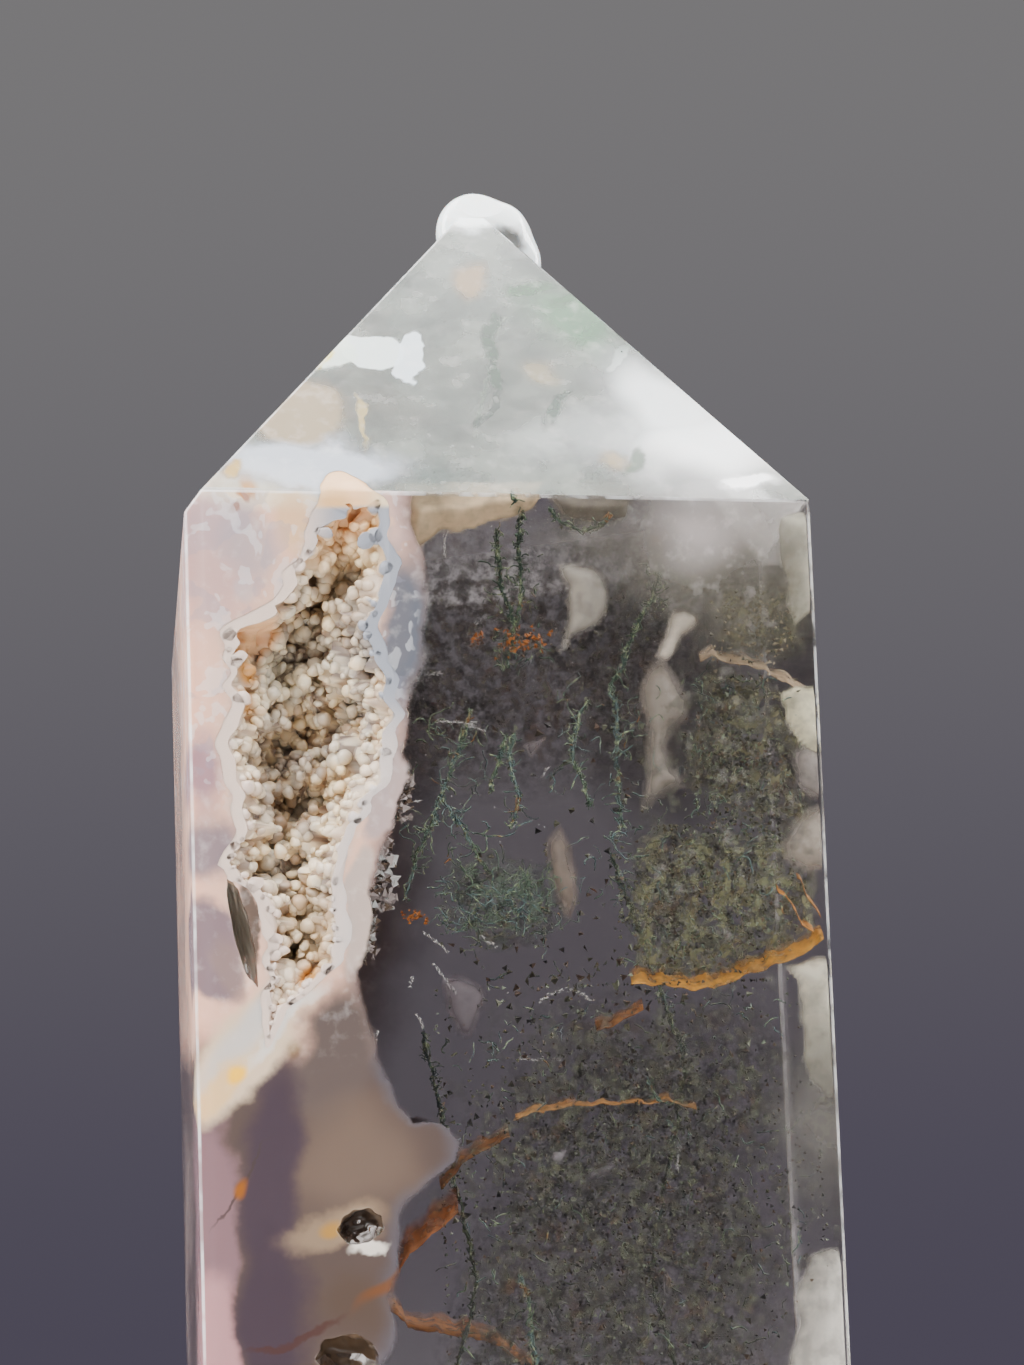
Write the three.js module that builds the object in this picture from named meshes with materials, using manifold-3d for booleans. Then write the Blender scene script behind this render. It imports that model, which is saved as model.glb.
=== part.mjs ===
// A polished point of druzy moss agate, standing on its sawn base.
//
// The stone is one piece: a four-sided prism that narrows slightly upwards, with four facets
// ground to a point. The very tip was left as nature made it, a rounded lump of chalcedony
// that the front facet cuts off flat. A long hollow opens in the left of the front face and
// runs up over the shoulder. It is lined with a crust of druzy, round pale lumps of quartz.
//
// Millimetres. +Z is up, the front face looks towards -Y, and the origin is the middle of the base.

import * as THREE from "three";
import { mergeVertices } from "three/addons/utils/BufferGeometryUtils.js";
import Module from "manifold-3d";

const wasm = await Module();
wasm.setup();

// The prism
const BASE_WIDTH = 28.6;
const BASE_DEPTH = 26.6;
const SHOULDER_WIDTH = 28;
const SHOULDER_DEPTH = 26;
const SHOULDER_HEIGHT = 75;

// The point: where the facets would meet, and how high each one starts on the corners
const APEX = new THREE.Vector3(0.65, 0.3, 91.75);
const FRONT_LEFT_SHOULDER = 75;
const FRONT_RIGHT_SHOULDER = 75;
const BACK_RIGHT_SHOULDER = 74.2;
const BACK_LEFT_SHOULDER = 70.85;
const FRONT_FACET_RISE = 1;

// Where the ground facets stop, and the natural lump that caps them, as balls melted into each
// other: place, then radius
const FACETS_END = 91;
const TIP_BALLS = [
  [0.85, 1.5, 90.7, 1.8],
  [2.0, 1.5, 90.4, 1.7],
  [2.5, 1.9, 89.2, 1.7],
  [0.9, 2.6, 89.2, 1.9],
  [1.7, 3.0, 88.7, 1.9],
];
const TIP_MIDDLE = new THREE.Vector3(1.5, 2.1, 89.6);
const TIP_MELT = 12;
const TIP_DETAIL = 5;

// The hollow from its lower end to its upper one: height, left and right edge on the front face,
// and how deep it goes. Its widest part is a little behind the face, so the rim overhangs.
const HOLLOW = [
  [51.2, -11.5, -10.6, 1.2],
  [53.0, -11.6, -9.8, 2.2],
  [54.2, -11.1, -8.2, 3.2],
  [55.8, -11.0, -7.2, 4.0],
  [57.8, -11.3, -7.4, 4.4],
  [59.4, -13.2, -7.3, 4.7],
  [60.9, -12.2, -6.7, 5.2],
  [62.4, -12.3, -5.8, 5.8],
  [64.2, -13.0, -4.9, 6.3],
  [66.2, -12.3, -4.6, 6.3],
  [68.0, -12.3, -4.9, 5.8],
  [69.8, -12.5, -5.6, 5.2],
  [70.9, -10.4, -5.3, 4.9],
  [72.0, -9.8, -4.6, 4.4],
  [73.6, -8.7, -4.6, 3.8],
  [75.5, -8.7, -4.7, 2.8],
  [77.0, -8.3, -6.0, 1.8],
];
const HOLLOW_RECESS = 0.35;
const HOLLOW_BULGE = 0.07;
const HOLLOW_ROWS = 26;
const HOLLOW_SIDES = 22;

// The druzy crust on the wall of the hollow
const CRUST_THICKNESS = 0.8;
const CRUST_CLEARANCE = 0.1;
const LUMP_SMALLEST = 0.5;
const LUMP_LARGEST = 0.9;
const LUMP_SPACING = 1.5;
const LUMP_TRIALS = 3000;
const FACE_MARGIN = 0.3;

// A narrow cleft beside the hollow, and two small pits low on the face: place and half sizes as for
// a lobe, then the lean from upright in degrees
const CLEFT = [-11.95, 0.3, 56.4, 0.38, 2.4, 2.4, -12];
const PITS = [
  [-7.2, 0.1, 43.5, 1.0, 1.3, 0.75, -12],
  [-7.9, 0.2, 37.9, 1.35, 1.8, 1.0, 8],
];

const GOLDEN_ANGLE = Math.PI * (3 - Math.sqrt(5));
const CUTTER_SIZE = 200;

// A geometry as a solid that can be joined and cut.
function toSolid(geometry) {
  const bare = geometry.clone();
  bare.deleteAttribute("normal");
  bare.deleteAttribute("uv");
  const merged = mergeVertices(bare, 1e-4);
  return new wasm.Manifold(
    new wasm.Mesh({
      numProp: 3,
      vertProperties: new Float32Array(merged.attributes.position.array),
      triVerts: new Uint32Array(merged.index.array),
    }),
  );
}

function toGeometry(solid) {
  const mesh = solid.getMesh();
  const geometry = new THREE.BufferGeometry();
  geometry.setAttribute("position", new THREE.BufferAttribute(mesh.vertProperties, 3));
  geometry.setIndex(new THREE.BufferAttribute(mesh.triVerts, 1));
  geometry.computeVertexNormals();
  return geometry;
}

function joined(solids) {
  return solids.reduce((all, one) => all.add(one));
}

// The largest closed surface of a solid, without loose crumbs or bubbles sealed inside it.
function mainBody(solid) {
  return solid.decompose().reduce((best, one) => (one.volume() > best.volume() ? one : best));
}

// The y of the front face at a height.
function frontAt(z) {
  return -THREE.MathUtils.lerp(BASE_DEPTH, SHOULDER_DEPTH, z / SHOULDER_HEIGHT) / 2;
}

// The corner of the prism on one side (-1 left, 1 right) and end (-1 front, 1 back), at a height.
function cornerAt(side, end, z) {
  const width = THREE.MathUtils.lerp(BASE_WIDTH, SHOULDER_WIDTH, z / SHOULDER_HEIGHT);
  return new THREE.Vector3((side * width) / 2, -end * frontAt(z), z);
}

// A block on the plane through three points, on the side away from the stone's middle.
function outside(a, b, c) {
  const plane = new THREE.Plane().setFromCoplanarPoints(a, b, c);
  const middle = new THREE.Vector3(0, 0, SHOULDER_HEIGHT / 2);
  if (plane.distanceToPoint(middle) > 0) plane.negate();
  const block = new THREE.BoxGeometry(CUTTER_SIZE, CUTTER_SIZE, CUTTER_SIZE);
  block.translate(0, 0, CUTTER_SIZE / 2);
  block.applyQuaternion(
    new THREE.Quaternion().setFromUnitVectors(new THREE.Vector3(0, 0, 1), plane.normal),
  );
  block.translate(a.x, a.y, a.z);
  return toSolid(block);
}

// The four-sided block, up to where the facets stop.
function block() {
  const box = new THREE.BoxGeometry(1, 1, FACETS_END).translate(0, 0, FACETS_END / 2);
  const points = box.attributes.position;
  for (let i = 0; i < points.count; i++) {
    const z = points.getZ(i);
    const corner = cornerAt(Math.sign(points.getX(i)), Math.sign(points.getY(i)), z);
    points.setXY(i, corner.x, corner.y);
  }
  return toSolid(box);
}

const frontLeft = cornerAt(-1, -1, FRONT_LEFT_SHOULDER);
const frontRight = cornerAt(1, -1, FRONT_RIGHT_SHOULDER);
const backRight = cornerAt(1, 1, BACK_RIGHT_SHOULDER);
const backLeft = cornerAt(-1, 1, BACK_LEFT_SHOULDER);
const frontFacetLeft = cornerAt(-1, -1, FRONT_LEFT_SHOULDER + FRONT_FACET_RISE);

// The facet that faces front, which also trims the lump at the tip.
const beyondFrontFacet = outside(frontFacetLeft, frontRight, APEX);

function polishedPrism() {
  return block()
    .subtract(beyondFrontFacet)
    .subtract(outside(frontLeft, backLeft, APEX))
    .subtract(outside(frontRight, backRight, APEX))
    .subtract(outside(backLeft, backRight, APEX));
}

// How far the lump at the tip reaches from its middle in a direction. Each ball is met at its own
// reach, and a high power keeps the furthest while rounding the creases between them.
function tipReach(direction) {
  const reaches = TIP_BALLS.map(([x, y, z, radius]) => {
    const offset = new THREE.Vector3(x, y, z).sub(TIP_MIDDLE);
    const ahead = offset.dot(direction);
    return ahead + Math.sqrt(ahead ** 2 - offset.lengthSq() + radius ** 2);
  });
  return reaches.reduce((sum, reach) => sum + reach ** TIP_MELT, 0) ** (1 / TIP_MELT);
}

function tipLump() {
  const ball = new THREE.IcosahedronGeometry(1, TIP_DETAIL);
  const points = ball.attributes.position;
  const p = new THREE.Vector3();
  for (let i = 0; i < points.count; i++) {
    p.fromBufferAttribute(points, i).normalize();
    p.multiplyScalar(tipReach(p)).add(TIP_MIDDLE);
    points.setXYZ(i, p.x, p.y, p.z);
  }
  return toSolid(ball).subtract(beyondFrontFacet);
}

// The hollow's middle across the face, half width and depth, by height.
const hollowSections = new THREE.CubicInterpolant(
  HOLLOW.map(([z]) => z),
  HOLLOW.flatMap(([, left, right, depth]) => [(left + right) / 2, (right - left) / 2, depth]),
  3,
);

// A point on the hollow's wall: along runs from -1 at the lower end to 1 at the upper one, and turn
// goes round it. The back of the wall swells in shallow bulges, and inset brings it inwards.
function onWall(along, turn, inset) {
  const lowest = HOLLOW[0][0] + inset;
  const highest = HOLLOW.at(-1)[0] - inset;
  const z = THREE.MathUtils.mapLinear(along, -1, 1, lowest, highest);
  const [middle, halfWidth, depth] = hollowSections.evaluate(z);
  const swell = 1 + HOLLOW_BULGE * (Math.sin(1.4 * z + 2 * turn) + Math.sin(0.8 * z - 3 * turn));
  const roundedEnd = Math.sqrt(1 - along ** 6);
  return new THREE.Vector3(
    middle + Math.cos(turn) * roundedEnd * (halfWidth - inset),
    frontAt(z) + HOLLOW_RECESS + Math.sin(turn) * roundedEnd * (depth * swell - inset),
    z,
  );
}

function hollow(inset) {
  const ball = new THREE.SphereGeometry(1, HOLLOW_SIDES, HOLLOW_ROWS).rotateX(Math.PI / 2);
  const points = ball.attributes.position;
  for (let i = 0; i < points.count; i++) {
    const along = Math.asin(THREE.MathUtils.clamp(points.getZ(i), -1, 1)) / (Math.PI / 2);
    const p = onWall(along, Math.atan2(points.getY(i), points.getX(i)), inset);
    points.setXYZ(i, p.x, p.y, p.z);
  }
  return toSolid(ball);
}

// Round lumps spread evenly over the crust's inner wall, no two middles nearer than the spacing.
function lumps() {
  const places = [];
  for (let k = 0; k < LUMP_TRIALS; k++) {
    const along = 1 - (2 * (k + 0.5)) / LUMP_TRIALS;
    const turn = k * GOLDEN_ANGLE;
    const place = onWall(along, turn, CRUST_THICKNESS);
    const openToAir = place.y - frontAt(place.z) < FACE_MARGIN;
    const crowded = places.some((other) => other.place.distanceTo(place) < LUMP_SPACING);
    if (!openToAir && !crowded) places.push({ place, turn, size: (k * 0.618) % 1 });
  }
  return places.map(({ place, turn, size }) => {
    const radius = THREE.MathUtils.lerp(LUMP_SMALLEST, LUMP_LARGEST, size);
    const lump = new THREE.IcosahedronGeometry(radius).rotateX(turn).rotateZ(2 * turn);
    return toSolid(lump.translate(place.x, place.y, place.z));
  });
}

// A pit or cleft in the front face, leaning from upright by an angle in degrees.
function pit([x, behind, z, across, inwards, upwards, lean]) {
  const ball = new THREE.IcosahedronGeometry(1, 2).scale(across, inwards, upwards);
  ball.rotateY(THREE.MathUtils.degToRad(lean));
  return toSolid(ball.translate(x, frontAt(z) + behind, z));
}

const stoneBeforeHollow = polishedPrism().add(tipLump());

function tower() {
  const carved = stoneBeforeHollow.subtract(hollow(0)).subtract(pit(CLEFT));
  return mainBody(carved.subtract(joined(PITS.map(pit))));
}

function druzyCrust() {
  const filling = hollow(CRUST_CLEARANCE).intersect(stoneBeforeHollow);
  const lining = filling.subtract(hollow(CRUST_THICKNESS));
  return mainBody(lining.add(joined(lumps()).intersect(filling)));
}

function named(name, solid, material) {
  const mesh = new THREE.Mesh(toGeometry(solid), material);
  mesh.name = name;
  return mesh;
}

const agate = new THREE.MeshStandardMaterial({
  color: 0x6c6566,
  roughness: 0.08,
  metalness: 0,
  transparent: true,
  opacity: 0.8,
});
const druzy = new THREE.MeshStandardMaterial({ color: 0xe6dccb, roughness: 0.4, metalness: 0 });

const towerPart = new THREE.Group();
towerPart.add(named("agate_tower", tower(), agate));
towerPart.add(named("druzy_crust", druzyCrust(), druzy));

export default towerPart;
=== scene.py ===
import math
import random

import bmesh
import bpy
import numpy as np
from mathutils import Euler, Matrix, Vector, noise
from mathutils.kdtree import KDTree


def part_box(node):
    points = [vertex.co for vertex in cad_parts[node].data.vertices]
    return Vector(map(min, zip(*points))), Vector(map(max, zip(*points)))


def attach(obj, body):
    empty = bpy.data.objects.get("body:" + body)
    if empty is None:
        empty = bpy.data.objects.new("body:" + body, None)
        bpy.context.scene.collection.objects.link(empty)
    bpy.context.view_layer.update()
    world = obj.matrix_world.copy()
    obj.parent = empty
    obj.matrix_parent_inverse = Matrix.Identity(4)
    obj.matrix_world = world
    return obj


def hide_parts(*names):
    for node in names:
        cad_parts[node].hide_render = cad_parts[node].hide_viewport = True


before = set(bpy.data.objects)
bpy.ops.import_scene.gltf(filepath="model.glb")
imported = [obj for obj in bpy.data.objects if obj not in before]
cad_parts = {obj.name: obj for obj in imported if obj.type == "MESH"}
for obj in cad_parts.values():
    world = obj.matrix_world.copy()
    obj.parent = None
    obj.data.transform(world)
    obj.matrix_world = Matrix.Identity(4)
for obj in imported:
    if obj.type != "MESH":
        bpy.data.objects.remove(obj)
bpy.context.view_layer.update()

# The ground stone
# One piece of chalcedony, sawn to a square prism that narrows a little upwards and ground to four
# facets. Its edges are only rubbed, and the natural lump at the tip was left on.
MM = 0.001
_, base_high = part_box("agate_tower")
BASE_HALF = Vector((base_high.x, base_high.y)) / MM
SHOULDER_HALF = Vector((14, 13))
SHOULDER_HEIGHT = 75
APEX = Vector((0.65, 0.3, 91.75))
BLOCK_TOP = 91
EDGE_RUB = 0.13
# Each facet runs from two corners of the prism up to the apex: side, end and height of each.
FACETS = (
    ((-1, -1, 76), (1, -1, 75)),
    ((-1, -1, 75), (-1, 1, 70.85)),
    ((1, -1, 75), (1, 1, 74.2)),
    ((-1, 1, 70.85), (1, 1, 74.2)),
)


def corner(side, end, z):
    """The prism's corner on one side (-1 left) and end (-1 front), at a height, in millimetres."""
    half = BASE_HALF.lerp(SHOULDER_HALF, z / SHOULDER_HEIGHT)
    return Vector((side * half.x, end * half.y, z))


def front_at(z):
    return corner(1, -1, z).y


def grind(bm, a, b, c):
    """Cuts away what lies beyond the plane through three points, and closes the cut."""
    normal = (b - a).cross(c - a).normalized()
    if normal.dot(Vector((0, 0, SHOULDER_HEIGHT / 2)) - a) > 0:
        normal.negate()
    geometry = bm.verts[:] + bm.edges[:] + bm.faces[:]
    cut = bmesh.ops.bisect_plane(bm, geom=geometry, plane_co=a, plane_no=normal, clear_outer=True)
    rim = [e for e in cut["geom_cut"] if isinstance(e, bmesh.types.BMEdge)]
    bmesh.ops.edgeloop_fill(bm, edges=rim)


def put(name, data):
    """Puts a new object in the scene."""
    thing = bpy.data.objects.new(name, data)
    bpy.context.scene.collection.objects.link(thing)
    return thing


def piece(name, bm):
    """A mesh modelled in millimetres as an object in metres, shaded smooth up to sharp edges."""
    bmesh.ops.scale(bm, vec=(MM, MM, MM), verts=bm.verts)
    mesh = bpy.data.meshes.new(name)
    bm.to_mesh(mesh)
    bm.free()
    mesh.shade_smooth()
    return put(name, mesh)


def settle(thing):
    """Applies an object's modifiers."""
    graph = bpy.context.evaluated_depsgraph_get()
    shaped = thing.evaluated_get(graph)
    mesh = bpy.data.meshes.new_from_object(shaped, preserve_all_data_layers=True, depsgraph=graph)
    thing.modifiers.clear()
    thing.data = mesh


def combine(thing, other, operation, folds=False):
    """Joins or cuts one closed mesh with another, which is used up and may fold into itself."""
    change = thing.modifiers.new(operation, "BOOLEAN")
    change.operation = operation
    change.solver = "EXACT"
    change.use_self = folds
    change.object = other
    settle(thing)
    bpy.data.objects.remove(other)


facets = [(corner(*start), corner(*end), APEX) for start, end in FACETS]
front_facet = facets[0]
bm = bmesh.new()
bmesh.ops.create_cube(bm, size=1)
for vert in bm.verts:
    side, end = math.copysign(1, vert.co.x), math.copysign(1, vert.co.y)
    vert.co = corner(side, end, BLOCK_TOP if vert.co.z > 0 else 0)
for facet in facets:
    grind(bm, *facet)
bmesh.ops.recalc_face_normals(bm, faces=bm.faces)
rubbed = bm.faces.layers.float.new("rubbed")
bevelled = bmesh.ops.bevel(
    bm, geom=bm.edges[:], offset=EDGE_RUB, segments=2, profile=0.5, affect="EDGES", material=-1
)
for face in bevelled["faces"]:
    face[rubbed] = 1
stone = piece("stone", bm)

# The lump is five balls melted together: place, then radius.
TIP_BALLS = (
    (Vector((0.85, 1.5, 90.7)), 1.8),
    (Vector((2, 1.5, 90.4)), 1.7),
    (Vector((2.5, 1.9, 89.2)), 1.7),
    (Vector((0.9, 2.6, 89.2)), 1.9),
    (Vector((1.7, 3, 88.7)), 1.9),
)
TIP_MIDDLE = Vector((1.5, 2.1, 89.6))
TIP_MELT = 12
TIP_TREMOR = 0.06

bm = bmesh.new()
bmesh.ops.create_icosphere(bm, subdivisions=5, radius=1)
for vert in bm.verts:
    reaches = []
    for middle, radius in TIP_BALLS:
        offset = middle - TIP_MIDDLE
        ahead = offset.dot(vert.co)
        reaches.append(ahead + math.sqrt(ahead**2 - offset.length_squared + radius**2))
    reach = sum(r**TIP_MELT for r in reaches) ** (1 / TIP_MELT)
    reach += TIP_TREMOR * noise.noise(vert.co * 2.5)
    vert.co = TIP_MIDDLE + vert.co * reach
grind(bm, *front_facet)
combine(stone, piece("tip lump", bm), "UNION")

# The hollow was a gas bubble or a crack in the lava. From its lower end to its upper one: height,
# left and right edge on the front face, and how deep it goes.
HOLLOW = np.array(
    (
        (51.2, -11.5, -10.6, 1.2),
        (53, -11.6, -9.8, 2.2),
        (54.2, -11.1, -8.2, 3.2),
        (55.8, -11, -7.2, 4),
        (57.8, -11.3, -7.4, 4.4),
        (59.4, -13.2, -7.3, 4.7),
        (60.9, -12.2, -6.7, 5.2),
        (62.4, -12.3, -5.8, 5.8),
        (64.2, -13, -4.9, 6.3),
        (66.2, -12.3, -4.6, 6.3),
        (68, -12.3, -4.9, 5.8),
        (69.8, -12.5, -5.6, 5.2),
        (70.9, -10.4, -5.3, 4.9),
        (72, -9.8, -4.6, 4.4),
        (73.6, -8.7, -4.6, 3.8),
        (75.5, -8.7, -4.7, 2.8),
        (77, -8.3, -6, 1.8),
    )
)
HOLLOW_RECESS = 0.35
HOLLOW_BULGE = 0.07
HOLLOW_TREMOR = 0.45
END_POWER = 6
RIM_WIDTH = 0.12
DEEPEST_DIP = 0.25


def on_wall(along, turn, inset, relief=0):
    """A point on the hollow's wall, from along -1 at its lower end to 1, and its way inwards.

    An inset wall also rises and falls by the relief, mostly at the back of the hollow, and is wider
    at its rim.
    """
    lowest, highest = HOLLOW[0, 0] + inset, HOLLOW[-1, 0] - inset
    z = lowest + (highest - lowest) * (along + 1) / 2
    left, right, depth = (np.interp(z, HOLLOW[:, 0], HOLLOW[:, k]) for k in (1, 2, 3))
    depth *= 1 + HOLLOW_BULGE * (math.sin(1.4 * z + 2 * turn) + math.sin(0.8 * z - 3 * turn))
    rounded = math.sqrt(max(0, 1 - along**END_POWER))
    across, back = math.cos(turn) * rounded, math.sin(turn) * rounded
    wall = Vector(((right - left) / 2 * across, depth * back, z))
    rise = noise.noise(wall * 0.45) + 0.7 * noise.noise(wall * 1.1)
    inset -= HOLLOW_TREMOR * noise.noise(wall * 1.3 + Vector((5, 0, 0)))
    inset += max(-DEEPEST_DIP, relief * rise * (0.1 + 0.9 * max(0, back)))
    if relief:
        inset += RIM_WIDTH * (1 - max(0, back)) ** 3 * (0.7 + noise.noise(wall * 0.9))
    place = Vector((
        (left + right) / 2 + across * ((right - left) / 2 - inset),
        front_at(z) + HOLLOW_RECESS + back * (depth - inset),
        z,
    ))
    return place, Vector((-across, -back, -0.6 * along**5)).normalized()


def hollow_form(name, inset, relief=0, lumps=None, around=84, upwards=120):
    """A closed form inside the hollow's wall. Lumps gives how far it draws back at a place."""
    bm = bmesh.new()
    bmesh.ops.create_uvsphere(bm, u_segments=around, v_segments=upwards, radius=1)
    for vert in bm.verts:
        turn = math.atan2(vert.co.y, vert.co.x)
        along = math.asin(max(-1, min(1, vert.co.z))) / (math.pi / 2)
        vert.co, inwards = on_wall(along, turn, inset, relief)
        if lumps:
            vert.co += inwards * lumps(vert.co)
    bmesh.ops.recalc_face_normals(bm, faces=bm.faces)
    return piece(name, bm)


combine(stone, hollow_form("hollow", 0), "DIFFERENCE")

# A narrow cleft beside the hollow and two small pits: place, depth of the middle behind the face,
# half sizes across, inwards and upwards, and the lean from upright in degrees.
PITS = (
    (-11.95, 0.3, 56.4, 0.38, 2.4, 2.4, -12),
    (-7.2, 0.1, 43.5, 1, 1.3, 0.75, -12),
    (-7.9, 0.2, 37.9, 1.35, 1.8, 1, 8),
)
PIT_TREMOR = 0.16
for x, behind, z, across, inwards, upwards, lean in PITS:
    bm = bmesh.new()
    bmesh.ops.create_icosphere(bm, subdivisions=5, radius=1)
    for vert in bm.verts:
        vert.co *= 1 + PIT_TREMOR * noise.noise(vert.co * 2.2 + Vector((x, 0, z)))
    bmesh.ops.scale(bm, vec=(across, inwards, upwards), verts=bm.verts)
    bmesh.ops.rotate(bm, matrix=Matrix.Rotation(math.radians(lean), 3, "Y"), verts=bm.verts)
    bmesh.ops.translate(bm, vec=(x, front_at(z) + behind, z), verts=bm.verts)
    combine(stone, piece("pit", bm), "DIFFERENCE")
stone.data.shade_smooth()
stone.data.set_sharp_from_angle(angle=math.radians(20))


class Wire:
    """An output of a material's nodes. Arithmetic on it adds Math nodes."""

    def __init__(self, tree, socket):
        self.tree = tree
        self.socket = socket

    def math(self, operation, *values):
        return add(self.tree, "Math", dict(enumerate((self, *values))), operation=operation)

    def __add__(self, other):
        return self.math("ADD", other)

    def __sub__(self, other):
        return self.math("SUBTRACT", other)

    def __rsub__(self, other):
        return (self * -1).math("ADD", other)

    def __mul__(self, other):
        return self.math("MULTIPLY", other)

    def most(self, other):
        return self.math("MAXIMUM", other)

    def part(self, axis):
        return add(self.tree, "SeparateXYZ", {"Vector": self}, axis)

    __radd__ = __add__
    __rmul__ = __mul__


def add(tree, kind, inputs, output=0, points=None, **settings):
    """Adds a shader node, with its settings first and then its sockets, and returns an output."""
    node = tree.nodes.new("ShaderNode" + kind)
    for name, value in settings.items():
        setattr(node, name, value)
    if points:
        curve = node.mapping.curves[0]
        while len(curve.points) < len(points):
            curve.points.new(0.5, 0.5)
        for point, place in zip(curve.points, points):
            point.location = place
        node.mapping.update()
    for name, value in inputs.items():
        if isinstance(value, Wire):
            tree.links.new(value.socket, node.inputs[name])
        else:
            node.inputs[name].default_value = value
    return Wire(tree, node.outputs[output])


def attribute(tree, name, output="Fac"):
    return add(tree, "Attribute", {}, output, attribute_name=name)


def vector(operation, first, second):
    return add(first.tree, "VectorMath", {0: first, 1: second}, operation=operation)


def ramp(value, low, high):
    """0 below low and 1 above high, with a soft rise between. The other way round if low is more."""
    if low > high:
        return 1 - ramp(value, high, low)
    inputs = {"Value": value, "From Min": low, "From Max": high}
    return add(value.tree, "MapRange", inputs, interpolation_type="SMOOTHSTEP")


def mix(amount, first, second):
    """Colour first where amount is 0 and second where it is 1, each an output or a tone's name."""
    first, second = (tone(c) if isinstance(c, str) else c for c in (first, second))
    return add(amount.tree, "Mix", {0: amount, 6: first, 7: second}, 2, data_type="RGBA")


def noise_at(place, scale, detail=3, roughness=0.55, output=0):
    inputs = {"Vector": place, "Scale": scale, "Detail": detail, "Roughness": roughness}
    return add(place.tree, "TexNoise", inputs, output)


def blotches(place, scale, detail, low, high):
    """0 with blotches of 1, whose edges lie between two values of the noise."""
    return ramp(noise_at(place, scale, detail), low, high)


def sway(place, scale, detail, reach):
    """A shift that wanders over the stone, by up to half the reach each way."""
    wander = vector("SUBTRACT", noise_at(place, scale, detail, output=1), (0.5,) * 3)
    return vector("MULTIPLY", wander, (reach,) * 3)


def new_material(name):
    """A material, its tree of nodes, and the place on the surface in millimetres."""
    material = bpy.data.materials.new(name)
    material.use_nodes = True
    tree = material.node_tree
    tree.nodes.clear()
    return material, tree, vector("MULTIPLY", add(tree, "TexCoord", {}, "Object"), (1 / MM,) * 3)


def coat(thing, material, surface, volume=None):
    """Gives an object its material. The surface is a shader, or what goes into a Principled one."""
    tree = material.node_tree
    if isinstance(surface, dict):
        surface = add(tree, "BsdfPrincipled", surface)
    out = tree.nodes.new("ShaderNodeOutputMaterial")
    tree.links.new(surface.socket, out.inputs["Surface"])
    if volume:
        tree.links.new(volume.socket, out.inputs["Volume"])
    thing.data.materials.clear()
    thing.data.materials.append(material)


def tone(name):
    """A colour written as on a colour card, such as "a0b0c0", in linear light and opaque."""
    parts = (int(name[k : k + 2], 16) / 255 for k in (0, 2, 4))
    return (*(((p + 0.055) / 1.055) ** 2.4 for p in parts), 1)


def inside(place, middle, half, lean, softness, strength=1):
    """The strength well inside an ellipsoid, which leans to the right by an angle, and 0 outside."""
    nearness = add(place.tree, "TexGradient", {"Vector": place}, 1, gradient_type="SPHERICAL")
    mapping = nearness.socket.node.texture_mapping
    mapping.vector_type = "TEXTURE"
    mapping.translation = middle
    mapping.rotation = (0, math.radians(lean), 0)
    mapping.scale = [h * (1 + softness) for h in half]
    inputs = {"Value": nearness, "From Max": 2 * softness / (1 + softness), "To Max": strength}
    return add(place.tree, "MapRange", inputs, interpolation_type="SMOOTHSTEP")


# The milky side of the stone ends at a border: height, then the place across the front face.
BORDER = (
    (0, -8), (6, -5), (12, -9.5), (18, -5.5), (24, -9), (30, -6.5), (35, -7.4), (38.5, -6.3),
    (42.4, -5.6), (45.4, -4.4), (47.3, -2.7), (48.3, -5.1), (49.8, -5.9), (52.4, -6.5), (55, -7.1),
    (58.4, -6), (63.3, -4.7), (68, -3.9), (71, -3.7), (75, -3.6), (92, -4),
)
BORDER_TOP = 92
BORDER_REACH = 16

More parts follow.
